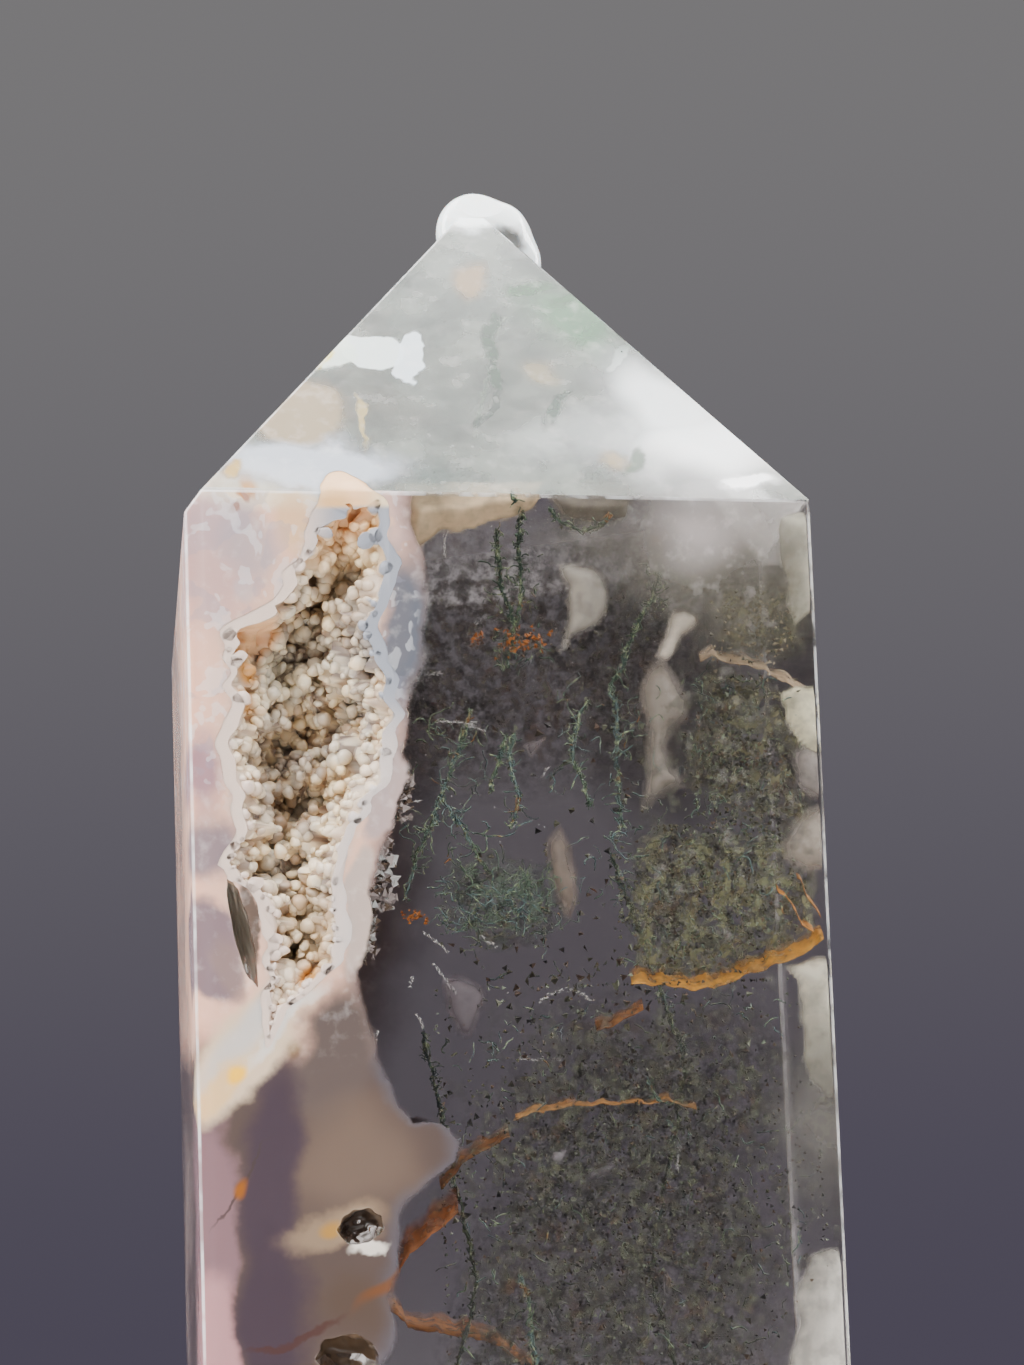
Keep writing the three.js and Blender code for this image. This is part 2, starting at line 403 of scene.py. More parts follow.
# Its patches: middle, half sizes, lean, softness of the edge, strength, and colour. Later ones lie
# over earlier ones.
PATCHES = (
    # brown low on the left, with a purple band, a pink strip, and stains of iron
    ((-8.1, -11, 51), (1.9, 6, 3.4), 16, 0.3, 1, "554a46"),
    ((-7.4, -11, 46.2), (2.7, 6, 2.5), 0, 0.5, 1, "64544a"),
    ((-11, -11, 46), (1.4, 6, 5), 6, 0.3, 1, "41363d"),
    ((-11.1, -11, 39.6), (1.5, 6, 4.2), 0, 0.3, 1, "3f343b"),
    ((-13.6, -11, 44), (1.1, 6, 5.2), 2, 0.25, 1, "7a5f63"),
    ((-13.7, -11, 38.5), (1.2, 6, 3.4), 0, 0.25, 1, "a67c7e"),
    ((-8.4, -12, 43.5), (2.3, 4, 0.7), -6, 0.35, 0.9, "84705c"),
    ((-6.9, -12, 42.75), (1, 3, 0.22), -12, 0.3, 0.9, "d8cfc4"),
    ((-8.6, -12, 43.6), (0.4, 3, 0.3), 0, 0.5, 0.8, "9f7530"),
    ((-7.8, -11, 40.4), (1.8, 5, 1.3), 0, 0.5, 1, "4d4038"),
    ((-7.2, -11.9, 43.5), (1.3, 1.2, 1), -12, 0.1, 1, "4a3c32"),
    ((-7.9, -11.6, 37.9), (1.6, 1.5, 1.2), 8, 0.1, 1, "6a5644"),
    ((-5.2, -12, 42), (0.3, 3, 2.9), 50, 0.45, 0.8, "674124"),
    ((-5.2, -12, 39.6), (0.8, 3, 1.3), 30, 0.45, 0.7, "5c585d"),
    ((-12.3, -12, 45.8), (0.08, 3, 1.9), 34, 0.4, 0.8, "413734"),
    ((-12.4, -12, 45.6), (0.3, 3, 0.3), 0, 0.5, 0.9, "8b531f"),
    ((-10.3, -12, 39), (0.16, 3, 1.9), 72, 0.4, 0.8, "452e29"),
    ((-10.2, -12, 51.4), (0.25, 3, 0.4), 0, 0.5, 0.9, "60482a"),
    # the sugary rim under the hollow, the pink window beside it, the cleft, and painted shade around
    # them
    ((-12.1, -12, 51.2), (1.35, 5, 3.9), 44, 0.25, 1, "cbb49a"),
    ((-11.6, -12, 52.4), (0.45, 5, 3.4), 44, 0.6, 0.6, "b4b6ba"),
    ((-13.2, -12, 49.7), (0.5, 5, 1.4), 40, 0.4, 0.8, "d8b27c"),
    ((-10.6, -12, 52.1), (0.3, 5, 2.6), 46, 0.4, 0.7, "d2ccc6"),
    ((-12.6, -12, 50.2), (0.3, 3, 0.3), 0, 0.5, 0.9, "f4bb0d"),
    ((-13.3, -11, 55.6), (1.5, 6, 2.6), -14, 0.15, 1, "7c686c"),
    ((-12.3, -11, 54.9), (0.7, 6, 1.6), -18, 0.3, 0.8, "86706c"),
    # painted shade of a recess above the window and beside the hollow: the stone's pink made darker
    # mauve
    ((-13.3, -11, 60.3), (1.3, 6, 1.4), 20, 0.42, 0.85, "6a616c"),
    ((-13.6, -11, 63.4), (1.2, 6, 1.6), 0, 0.4, 0.9, "8f6f78"),
    # painted shade: a dark strip on the face beside the cleft
    ((-11.6, -13, 56.6), (0.5, 0.6, 2.1), -12, 0.2, 0.9, "3c3833"),
    ((-11.8, -10.6, 56.4), (0.6, 2.25, 2.9), -12, 0.1, 1, "c4bcae"),
    # blue-white sugar beside and above the hollow, and tan where it runs up to the shoulder
    ((-13.4, -12, 73), (2.4, 5, 3.4), 0, 0.6, 0.7, "a88c8e"),
    ((-11.3, -12, 73.6), (1.2, 3, 2), -25, 0.42, 0.5, "8c8e96"),
    ((-11.6, -12, 71.6), (0.7, 3, 0.5), 30, 0.4, 0.4, "a4a8b0"),
    ((-10.5, -12, 76), (4, 3, 0.9), 0, 0.4, 0.8, "e3d7be"),
    ((-8.9, -12, 74.6), (1, 3, 1.5), 0, 0.4, 0.6, "d0ac7c"),
    ((-11.2, -12, 75.9), (0.35, 3, 0.5), -30, 0.5, 0.9, "c6850d"),
)
# Patches that cloud the clear stone as well.
CLOUD_PATCHES = (
    # a blue and a pale band along the border
    ((-4.7, -12, 69.3), (1.2, 4, 3.8), 4, 0.4, 0.95, "545a64"),
    ((-5.5, -12, 62.2), (0.9, 4, 2.4), 20, 0.15, 1, "a5918d"),
    ((-6.9, -12, 57.2), (0.8, 4, 2.9), 10, 0.15, 1, "ae9c92"),
    # clouds on the upper right
    ((9.4, -12, 73.2), (4.4, 4, 3.2), 0, 0.7, 0.8, "757068"),
    ((9, -12, 73.9), (2.2, 4, 1.7), 0, 0.8, 0.9, "9e9693"),
    ((11.4, -12, 70.4), (2.8, 3, 2.4), 0, 0.6, 0.6, "4d493c"),
    ((4.6, -12, 73.5), (2.6, 3, 1.4), 0, 0.6, 0.5, "4e483e"),
    ((13.6, -11, 48), (2.1, 4, 4.5), 0, 0.6, 0.75, "68645f"),
    # the facets: brown, blue-white and white places on the front one, green seen through it, and a
    # painted glint
    ((-8.6, -9, 79.3), (2.2, 3, 1.9), 0, 0.2, 0.85, "937c58"),
    ((-4.5, -8, 79.8), (2.2, 3, 1.3), 20, 0.5, 0.6, "2f2a15"),
    ((-8.2, -11, 77.1), (4.5, 4, 1.3), 0, 0.3, 0.9, "aeb4bf"),
    ((9.8, -10, 77.6), (3.6, 4, 2), 0, 0.7, 1, "f7f7f7"),
    ((5.2, -10, 78.6), (3.6, 4, 1.4), -8, 0.7, 0.5, "d8dcdc"),
    ((-5, -8.5, 83.4), (1.8, 3, 1.45), 0, 0.05, 0.9, "d2dcda"),
    ((-3.2, -8.5, 83), (0.9, 3, 1.6), 12, 0.05, 0.9, "ccd6dc"),
    ((0, -3, 87.2), (0.9, 3, 1.1), 0, 0.4, 0.8, "917142"),
    ((-6.8, -7, 83.2), (1.1, 3, 1.5), 38, 0.1, 0.9, "ccd8cc"),
    ((4.8, -5, 84.8), (1.7, 3, 3), -38, 0.6, 0.85, "0f5a24"),
    ((3, -4, 86.8), (0.55, 3, 1.1), 74, 0.4, 1, "00400c"),
    ((4.3, -5, 86), (0.4, 3, 1), 20, 0.4, 0.95, "00460c"),
    ((0.9, -5.5, 84.6), (0.35, 3, 0.9), 40, 0.4, 0.95, "002c0c"),
    ((0.6, -6.6, 83.3), (0.4, 3, 0.9), -10, 0.4, 1, "002c0c"),
    ((0.6, -7.9, 81.7), (0.35, 3, 1), 6, 0.4, 1, "002c0c"),
    ((0, -9.4, 79.9), (0.25, 3, 1.2), 28, 0.4, 0.9, "0a2414"),
    ((6.5, -7, 82.8), (0.3, 3, 1.3), 57, 0.4, 0.95, "00380e"),
    ((2.7, -9.4, 79.8), (0.4, 3, 1.1), 19, 0.4, 0.9, "04301a"),
    ((3.2, -8.8, 80.6), (0.25, 3, 0.7), 70, 0.4, 0.8, "0c2c1c"),
    ((-2.7, -12, 76.8), (0.9, 3, 1), -37, 0.6, 0.7, "1e3a30"),
    ((6.4, -11.5, 77.2), (0.3, 3, 0.8), 40, 0.4, 0.8, "24441c"),
    ((-5.9, -9.9, 79.5), (0.2, 3, 1.1), -9, 0.4, 0.8, "b09a58"),
    ((2.9, -8, 81.9), (0.7, 3, 0.6), 0, 0.5, 0.7, "8b7a50"),
    ((5.6, -9, 77.2), (0.6, 3, 0.6), 0, 0.4, 0.8, "a27f30"),
    ((-7.4, -8, 82.7), (0.35, 3, 0.9), 40, 0.4, 0.9, "c8b400"),
    ((8.3, -9, 80), (1.9, 4, 3.8), -42, 0.6, 0.9, "dfe3e4"),
    # a painted highlight: a white glint on the front facet near its right corner
    ((11.3, -12.4, 76), (1.4, 3, 0.45), 0, 0.3, 1, "ffffff"),
    ((-12, -11, 76.6), (0.5, 3, 0.35), 0, 0.4, 0.9, "b08a20"),
    ((-11.6, -12, 75.6), (0.4, 3, 0.25), 30, 0.3, 0.8, "a5601c"),
    ((-12.2, -12, 75.1), (0.25, 3, 0.2), 0, 0.3, 0.8, "8f5418"),
    ((1.4, 2.2, 91.6), (4, 4, 2.3), 0, 0.12, 0.97, "f2f8f8"),
    ((3.2, 2.8, 89.4), (2.3, 3, 2.6), 0, 0.15, 0.95, "e8eef0"),
    # the cloudy base, and the back
    ((0, 0, -0.9), (25, 25, 1.5), 0, 0.2, 0.9, "3a3432"),
    ((-8, 13, 60), (5.5, 5, 14), 10, 0.3, 0.85, "6a5852"),
    ((9.5, 13, 68), (4, 5, 7), 0, 0.4, 0.7, "6a676c"),
    ((6, 13, 22), (7.5, 5, 12), -20, 0.35, 0.75, "6a6356"),
)
# Where moss makes the clear stone cloudy: middle and half sizes.
MOSSY_PARTS = (
    ((5.5, -12, 45), (9, 5, 8.6)),
    ((9.6, -12, 60.5), (4, 4, 8)),
)
SOFTEST_TORN_EDGE = 0.42
QUARTZ_IOR = 1.54

material, tree, place = new_material("moss_agate")
swayed = vector("ADD", place, sway(place, 0.3, 1, 2.2))
torn = vector("ADD", swayed, sway(place, 1.6, 2, 0.5))
across, height, depth = torn.part("X"), torn.part("Z"), place.part("Y")
stops = [(z / BORDER_TOP, (x + BORDER_REACH) / (2 * BORDER_REACH)) for z, x in BORDER]
border = add(tree, "FloatCurve", {"Value": height * (1 / BORDER_TOP)}, points=stops)
past_border = across - (border * (2 * BORDER_REACH) - BORDER_REACH)
milk = ramp(past_border, 0.3, -0.2)
facet = ramp(add(tree, "TexCoord", {}, "Normal").part("Z"), 0.3, 0.4)

# The milky side is brown below and pink above, and clouded and banded away from the front
colour = mix(ramp(height, 50.3, 52.3), "4f433e", "d9ac96")
away = ramp(depth, -7, 2)
colour = mix(blotches(swayed, 0.15, 3, 0.42, 0.62) * away * 0.6, colour, "a08c84")
colour = mix(blotches(torn, 0.3, 2, 0.5, 0.58) * away * 0.4, colour, "5e5256")
colour = mix(ramp(past_border, -1, 0) * 0.7, colour, "545158")

# The clear side is cloudy where moss is, and so are the facets
moss_grain = noise_at(place, 1.5, 3)
for middle, half in MOSSY_PARTS:
    mask = inside(torn, middle, half, 0, 0.25)
    milk = milk.most(mask * ramp(moss_grain, 0.42, 0.66) * 0.55)
blotch = blotches(place, 0.4, 3, 0.3, 0.7)
mossy = mix(blotches(place, 4, 2, 0.45, 0.65), "2b2924", "4f5142")
colour = mix(ramp(past_border, 0, 0.4), colour, mossy)
colour = mix(facet, colour, mix(blotch, "465449", "787f74"))
milk = milk * (1 - facet) + facet * (0.36 + 0.24 * blotch) * ramp(depth, 6, 0)
for patch in PATCHES + CLOUD_PATCHES:
    middle, half, lean, softness, strength, shade = patch
    where = torn if softness <= SOFTEST_TORN_EDGE else swayed
    mask = inside(where, middle, half, lean, softness, strength)
    colour = mix(mask, colour, shade)
    if patch in CLOUD_PATCHES:
        milk = milk.most(mask)

# Pale mottling, lobes high on the milky side, and a painted highlight along the rubbed edges
colour = mix(blotches(place, 1.3, 3, 0.5, 0.75) * ramp(height, 50, 54) * 0.16, colour, "f4ece8")
milky_top = ramp(height, 60, 65) * (1 - facet) * ramp(past_border, 0, -0.6)
colour = mix(blotches(torn, 0.5, 2, 0.52, 0.55) * milky_top * 0.3, colour, "8a8796")
colour = mix(blotches(swayed, 0.9, 2, 0.57, 0.6) * milky_top * 0.3, colour, "dcdde0")
rub = attribute(tree, "rubbed") * ramp(depth, 10, 4)
# the pale, cloudy colour on the rubbed edges is a painted highlight
painted_edge_highlight = rub * (0.2 + 0.4 * blotches(place, 0.7, 2, 0.4, 0.6))
milk = milk.most(painted_edge_highlight)
colour = mix(painted_edge_highlight, colour, "d4d6d8")
blur = 0.03 + 0.25 * ramp(depth, 6, 12)
clear = {"Base Color": (1, 1, 1, 1), "Roughness": blur, "IOR": QUARTZ_IOR, "Transmission Weight": 1}
milky = {
    "Base Color": colour,
    "Roughness": 0.1,
    "IOR": QUARTZ_IOR,
    "Subsurface Weight": 0.5,
    "Subsurface Radius": (1, 0.8, 0.7),
    "Subsurface Scale": 0.001,
}
glassy = add(tree, "BsdfPrincipled", clear)
clouded = add(tree, "BsdfPrincipled", milky)
surface = add(tree, "MixShader", {0: milk, 1: glassy, 2: clouded})
smoke = add(tree, "VolumeAbsorption", {"Color": (0.6, 0.54, 0.52, 1), "Density": 42})
coat(stone, material, surface, smoke)
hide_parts("agate_tower")
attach(stone, "root")

# The druzy crust
# Chalcedony that lines the hollow, with beads of quartz grown on it, singly and as short fingers.
# It is one crust, bedded in the stone, and the grinding left its rim flush with the front face.
CRUST_BED = 0.1
CRUST_THICKNESS = 0.4
CRUST_RELIEF = 2.4
LUMP_RISE = 0.4
RIDGE_RISE = 0.55
FULL_RISE = 1.2
TOP_FROM = 71.2
FACE_GAP = 0.03
BEADS = (0.16, 0.34)
TOP_BEADS = (0.26, 0.48)
BEAD_TRIALS = 12000
BEAD_BED = 0.1
BEAD_SPACING = 1.02
BEAD_TONES = (0.35, 1.15)
BARE_SCALE = 0.55
SAME_PLACE = 0.05 * MM
GOLDEN_ANGLE = math.pi * (3 - math.sqrt(5))
FINGERS = 90
FINGER_RADII = (0.24, 0.4)
FINGER_STEP = 0.9
FINGER_RISE = 0.12
FINGER_ROOM = 0.8
HOLLOW_HALF_HEIGHT, HOLLOW_HALF_WIDTH = 13, 3.5

# Smooth basins without beads: middle, half sizes, and how far they are filled up
BASINS = (
    (Vector((-11.1, -11.5, 69.8)), Vector((1.3, 3, 1.2)), 1.2),
    (Vector((-6.9, -11, 75.6)), Vector((1.8, 3, 2)), 1.2),
)
BARE_BASIN = 0.6


def copies(name, shape, lays):
    """One mesh with a copy of a small closed shape at each of many 4 x 4 matrices."""
    corners = np.array([v.co[:] for v in shape.verts])
    faces = np.array([[v.index for v in f.verts] for f in shape.faces])
    shape.free()
    lays = np.array([[row[:] for row in lay] for lay in lays])
    spots = np.einsum("nij,vj->nvi", lays[:, :3, :3], corners) + lays[:, None, :3, 3]
    faces = faces + len(corners) * np.arange(len(lays))[:, None, None]
    mesh = bpy.data.meshes.new(name)
    mesh.from_pydata((spots.reshape(-1, 3) * MM).tolist(), [], faces.reshape(-1, 3).tolist())
    mesh.shade_smooth()
    return put(name, mesh)


def any_turn():
    return Euler([random.uniform(0, math.tau) for _ in range(3)])


def shaken():
    return Vector([random.gauss(0, 1) for _ in range(3)])


def skin(x, z):
    """The y of the front of the stone, on its face or its facet."""
    along_facet = Vector((x - front_facet[0].x, 0, z - front_facet[0].z)).dot(facet_normal)
    return max(front_at(z), front_facet[0].y - along_facet / facet_normal.y)


def taken_up(*things):
    """Objects as one mesh in millimetres, with their attributes. The objects are used up."""
    bm = bmesh.new()
    for thing in things:
        bm.from_mesh(thing.data)
        bpy.data.objects.remove(thing)
    bmesh.ops.scale(bm, vec=(1 / MM,) * 3, verts=bm.verts)
    return bm


def ground_flush(name, thing):
    """An object ground down to just behind the front face and the front facet."""
    bm = taken_up(thing)
    gap = Vector((0, FACE_GAP, 0))
    front_face = corner(-1, -1, 0), corner(1, -1, 0), corner(1, -1, SHOULDER_HEIGHT)
    for plane in (front_face, front_facet):
        grind(bm, *(p + gap for p in plane))
    return piece(name, bm)


def in_basin(spot):
    return any(from_middle(spot, middle, half) < BARE_BASIN for middle, half, _ in BASINS)


def from_middle(spot, middle, half):
    """How far a place is from an ellipse's middle, squared. Its edge is at 1."""
    return (spot - middle).x ** 2 / half.x**2 + (spot - middle).z ** 2 / half.z**2


def lumps(spot):
    """How far the crust's round lumps and winding ridges stand out at a place."""
    coarseness = 1.1 if spot.z > TOP_FROM else 1.9
    seam = noise.voronoi(spot * coarseness)[0][0]
    winding = noise.noise(spot * 0.85 * coarseness + Vector((9, 0, 0)))
    ridge = max(0, min(1, 0.5 + winding / 0.2))
    rise = LUMP_RISE * (1 - min(1, seam) ** 2) + RIDGE_RISE * ridge * ridge * (3 - 2 * ridge)
    rise *= max(0, min(1, (spot.y - skin(spot.x, spot.z)) / FULL_RISE))
    for middle, half, fill in BASINS:
        rise = max(rise, fill * max(0, 1 - from_middle(spot, middle, half)))
    return rise


facet_normal = (front_facet[1] - front_facet[0]).cross(front_facet[2] - front_facet[0]).normalized()
lining = ground_flush("lining", hollow_form("lining", -CRUST_BED))
inner = hollow_form("lining inside", CRUST_THICKNESS, CRUST_RELIEF, lumps, 120, 200)
wall_places = KDTree(len(inner.data.vertices))
rises = []
for vert in inner.data.vertices:
    wall_places.insert(vert.co, vert.index)
    rises.append(lumps(vert.co / MM) / (LUMP_RISE + RIDGE_RISE))
wall_places.balance()
combine(lining, inner, "DIFFERENCE", folds=True)

# The fingers wander over the wall bead by bead. The single beads keep their distance.
random.seed(7)
noise.seed_set(7)
spots = np.empty((0, 4))
lays = []
for _ in range(FINGERS):
    along, turn = random.uniform(-0.85, 0.85), random.uniform(0.1, 0.9) * math.pi
    bend = random.uniform(0, math.tau)
    radius = random.uniform(*FINGER_RADII)
    for _ in range(random.randrange(3, 9)):
        spot, inwards = on_wall(along, turn, CRUST_THICKNESS, CRUST_RELIEF)
        spot += inwards * (lumps(spot) + FINGER_RISE)
        bend += random.gauss(0, 0.5)
        along += math.sin(bend) * radius * FINGER_STEP / HOLLOW_HALF_HEIGHT
        turn += math.cos(bend) * radius * FINGER_STEP / HOLLOW_HALF_WIDTH
        if spot.y > skin(spot.x, spot.z) + 0.1 and not in_basin(spot):
            lays.append(Matrix.LocRotScale(spot, any_turn(), (radius,) * 3))
            spots = np.vstack((spots, (*spot, FINGER_ROOM * radius)))
for k in range(BEAD_TRIALS):
    along = 1 - 2 * (k + 0.5) / BEAD_TRIALS
    spot, inwards = on_wall(along, k * GOLDEN_ANGLE, CRUST_THICKNESS, CRUST_RELIEF)
    radius = random.uniform(*(TOP_BEADS if spot.z > TOP_FROM else BEADS))
    spot += inwards * (lumps(spot) - BEAD_BED)
    if spot.y < skin(spot.x, spot.z) + 0.5 * radius or in_basin(spot):
        continue
    if noise.noise(spot * BARE_SCALE) > random.uniform(0.1, 0.7):
        continue
    apart = np.linalg.norm(spots[:, :3] - spot, axis=1) - spots[:, 3]
    if len(apart) and apart.min() < BEAD_SPACING * radius:
        continue
    spots = np.vstack((spots, (*spot, BEAD_SPACING * radius)))
    heading = (inwards + 0.6 * Vector([random.uniform(-1, 1) for _ in range(3)])).normalized()
    upright = heading.to_track_quat("Z", "X")
    for _ in range(random.choice((1, 1, 2))):
        size = Vector((radius, radius * random.uniform(0.8, 1.2), radius * random.uniform(0.9, 1.6)))
        lays.append(Matrix.LocRotScale(spot, upright, size))
        spot = spot + heading * radius * 1.1 + shaken() * 0.06
        radius *= random.uniform(0.7, 1)
bead = bmesh.new()
bmesh.ops.create_icosphere(bead, subdivisions=2, radius=1)
beads = copies("beads", bead, lays)
for vert in beads.data.vertices:
    rough = noise.noise_vector(vert.co / MM * 2.5) * 0.1 + noise.noise_vector(vert.co / MM * 7) * 0.04
    vert.co += rough * MM


def mark(thing, name, values):
    """Gives each vertex of an object a value."""
    marks = thing.data.attributes.new(name, "FLOAT", "POINT")
    marks.data.foreach_set("value", values)


each = len(beads.data.vertices) // len(lays)
mark(beads, "rise", np.repeat([random.uniform(*BEAD_TONES) for _ in lays], each))
beads = ground_flush("beads", beads)
on_lining = []
for vert in lining.data.vertices:
    _, index, apart = wall_places.find(vert.co)
    on_lining.append(rises[index] if apart < SAME_PLACE else 1)
mark(lining, "rise", on_lining)
crust = piece("druzy", taken_up(lining, beads))
crust.data.set_sharp_from_angle(angle=math.radians(60))

# Tints of the crust and stains of iron: middle, size, strength and colour.
STAINS = (
    ((-9.8, -11, 64.3), 1.5, 0.5, "7a6458"),
    ((-6.8, -11, 71.1), 1.1, 0.45, "8c7460"),
    ((-5.5, -12, 69.3), 1.2, 0.65, "6c7078"),
    ((-9.5, -11, 68), 1.4, 0.35, "b8b8a4"),
    ((-8.8, -11, 56.4), 1.7, 0.5, "a8864e"),
    ((-9.7, -11, 62), 1.4, 0.45, "7c685c"),
    ((-7.6, -12, 73.6), 1.3, 0.5, "e4bc8c"),
    ((-11.8, -12.5, 68.5), 0.5, 0.85, "b5760d"),
    ((-11.3, -12.5, 67.8), 0.5, 0.85, "b5760d"),
    ((-11.7, -12.5, 66.5), 0.6, 0.85, "b5760d"),
    ((-9, -12.5, 54.3), 0.6, 0.85, "b5760d"),
    ((-7.4, -12, 75.4), 0.7, 0.5, "c89a58"),
    ((-5.6, -12, 74.2), 0.5, 0.5, "c89a58"),
)
FACE_AT_HOLLOW = 13.05
material, tree, place = new_material("druzy_quartz")
rise = attribute(tree, "rise")
across, behind, height = place.part("X"), place.part("Y") + FACE_AT_HOLLOW, place.part("Z")
patchy = blotches(place, 0.6, 2, 0.38, 0.62)
cream = mix(patchy, "f4dcb4", "dccfba")
tan = mix(patchy, "a5866a", "84736c")
# painted shade: the lining's low places are tan, and dark brown deeper in; on the beads the mix is a
# random tone
colour = mix(ramp(rise, 0.15, 0.85), tan, cream)
colour = mix(ramp(rise, 0.3, 0.02) * ramp(behind, 0.6, 2) * 0.6, colour, "4a3e34")
colour = mix(ramp(behind, 1.4, 0.2) * 0.75, colour, "e2cdb6")
# up top the same painted shade runs between paler tones
top = ramp(height, 71.5, 73)
colour = mix(top * 0.7, colour, mix(rise, "cdab80", "f4dcb0"))
for middle, half, _ in BASINS:
    colour = mix(inside(place, middle, half, 0, 0.3, 0.85), colour, "e4b07c")
for middle, size, strength, shade in STAINS:
    mask = inside(place, middle, (size, 3, size), 0, 0.5, strength)
    colour = mix(mask, colour, shade)
flush = ramp(behind, 0.25, 0.1) * ramp(height, 75.2, 74.9)
right_rim = mix(ramp(height, 64, 67), "c0b4ae", "8c8f98")
rim = mix(ramp(across, -9, -7), "ceb8aa", right_rim)
colour = mix(flush, colour, rim)
sugar = noise_at(place, 25, 3)
bump = add(tree, "Bump", {"Strength": 0.3, "Distance": 0.00005, "Height": sugar})
quartz = {
    "Base Color": colour,
    "Roughness": 0.35,
    "IOR": QUARTZ_IOR,
    "Subsurface Weight": 0.25,
    "Subsurface Radius": (1, 0.8, 0.65),
    "Subsurface Scale": 0.0003,
    "Normal": bump,
}
coat(crust, material, quartz)
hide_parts("druzy_crust")
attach(crust, "root")

# The milky masses
# Chalcedony that clouded as it set, sealed in the clear stone. Each is a lens with a traced outline,
# in x and z. It lies at a depth behind the face, has its own thickness, and thins out at its edge.
MASS_GRID = 0.16
OUTLINE_TREMOR = 0.09
FULL_SWELL = 0.8
SIDE_GAP = 0.12
# Each mass: depth, thickness, how wide its edge fades, colour, and outline.
MASSES = (
    # grey shapes in the clear middle, and a long white one
    (3, 1.5, 0.35, "b0aa9e", (
        (2.6, 72.6), (3.3, 72.7), (4.4, 72.5), (4.9, 72), (5.1, 71.3), (5, 70.5), (4.6, 69.9),
        (4.1, 69.6), (3.3, 69.3), (3.1, 68.7), (2.6, 68.5), (2.8, 69.1), (3.1, 69.8), (3.1, 71.6),
        (2.9, 72),
    )),
    (4, 2, 0.7, "a59c90", (
        (7.8, 70.3), (8.4, 70.4), (9.1, 70), (8.9, 69.5), (8.2, 69), (7.8, 68.2), (8.5, 66.8),
        (8.7, 66.3), (8.6, 65.4), (7.8, 64.9), (7.6, 64.3), (7.8, 63.3), (8.5, 62.5), (7.4, 62.1),
        (6.6, 61.5), (6.3, 61.2), (6.1, 61.6), (6.4, 62.7), (6.5, 65.2), (6.2, 66.9), (6.5, 67.6),
        (7, 68.4), (7.5, 69.2), (7.7, 69.9),
    )),
    (3.6, 0.8, 0.4, "fff4e2", (
        (7, 68.3), (7.5, 69.3), (7.7, 70), (7.9, 70.4), (8.5, 70.5), (9.1, 70.1), (8.9, 69.6),
        (8.3, 69.2), (7.9, 68.4), (7.6, 68.1),
    )),
    (5, 1, 0.2, "7a7274", ((1, 64.6), (2.1, 64.9), (1.7, 64.3), (1.4, 63.8), (1.2, 64.2))),
    (3, 1.5, 0.5, "8a7c70", (
        (2.4, 61), (2.9, 60), (3.1, 58.9), (3.2, 57.5), (2.8, 56.5), (2.3, 56.9), (1.9, 58),
        (1.7, 59.1), (1.8, 60.2),
    )),
    (4, 1, 0.4, "726a70", (
        (-3.1, 54.1), (-2.4, 54.4), (-1.5, 54), (-1, 53.4), (-1.4, 52.3), (-1.8, 51.4),
        (-2.5, 51.7), (-2.9, 52.8),
    )),
    (1.5, 0.6, 0.2, "8c868a", ((1.1, 46.2), (1.6, 46.6), (2.2, 46.5), (2, 45.9), (1.3, 45.8))),
    (2, 0.8, 0.4, "787278", (
        (2.5, 45.3), (3.3, 45.8), (4.4, 46), (4.9, 45.7), (4.2, 45), (3.1, 44.8),
    )),
    (1.5, 0.6, 0.2, "8c868a", ((6.1, 40.8), (6.3, 41), (6.5, 40.5), (6.4, 39.7), (6.1, 39.9))),
    # pale ones along the right edge
    (0.3, 2, 0.2, "e6dfca", (
        (12.1, 54.1), (12.7, 53.3), (12.7, 52.2), (12.8, 51.1), (12.7, 50), (13, 49.1),
        (13.8, 48.2), (14.6, 48.2), (14.6, 54.4), (13.6, 54.6),
    )),
    (0.7, 2.5, 0.3, "e0dacf", (
        (12.7, 41.4), (13.7, 41.7), (14.8, 41.4), (14.8, 32), (12.4, 31), (11.2, 33.4), (11.5, 36.8),
        (12, 38.3), (11.9, 39.6),
    )),
    (0.3, 1.5, 0.15, "f2ecd6", (
        (12.7, 74.4), (13.6, 74.6), (14.4, 74.4), (14.4, 70.3), (13.7, 69.8), (13.2, 69.4),
        (12.8, 70.4), (12.9, 71.4), (12.6, 72.6),
    )),
    (0.4, 1.5, 0.12, "e8e0c0", (
        (12.4, 66.4), (13.1, 66.7), (14.5, 66.5), (14.5, 63.3), (13.6, 63.6), (13, 64.4),
        (12.6, 65.2),
    )),
    (0.5, 1.5, 0.5, "9c928c", (
        (12.7, 63.8), (13.4, 64.2), (14.6, 63.8), (14.6, 61.6), (13.8, 61.5), (13, 62),
    )),
    (0.5, 1.5, 0.7, "aca092", (
        (12, 59.6), (12.9, 60.9), (13.9, 61.5), (14.6, 61.5), (14.6, 58.4), (13.2, 58.2), (12.2, 58.8),
    )),
    # the wedge under the shoulder
    (0.15, 3, 0.1, "d2b892", (
        (-4.6, 75.9), (-4.3, 72.9), (-3.5, 73.3), (-2.9, 73.8), (-2.7, 74), (-1.7, 74),
        (-1, 74.2), (-0.2, 74.5), (0.6, 74.5), (1.5, 74.9), (2.3, 75.9),
    )),
    (1.2, 3, 0.3, "7c7264", (
        (2.2, 75.8), (2.9, 74.6), (4, 74.3), (4.9, 74.2), (6, 74.4), (6.5, 75.8),
    )),
)


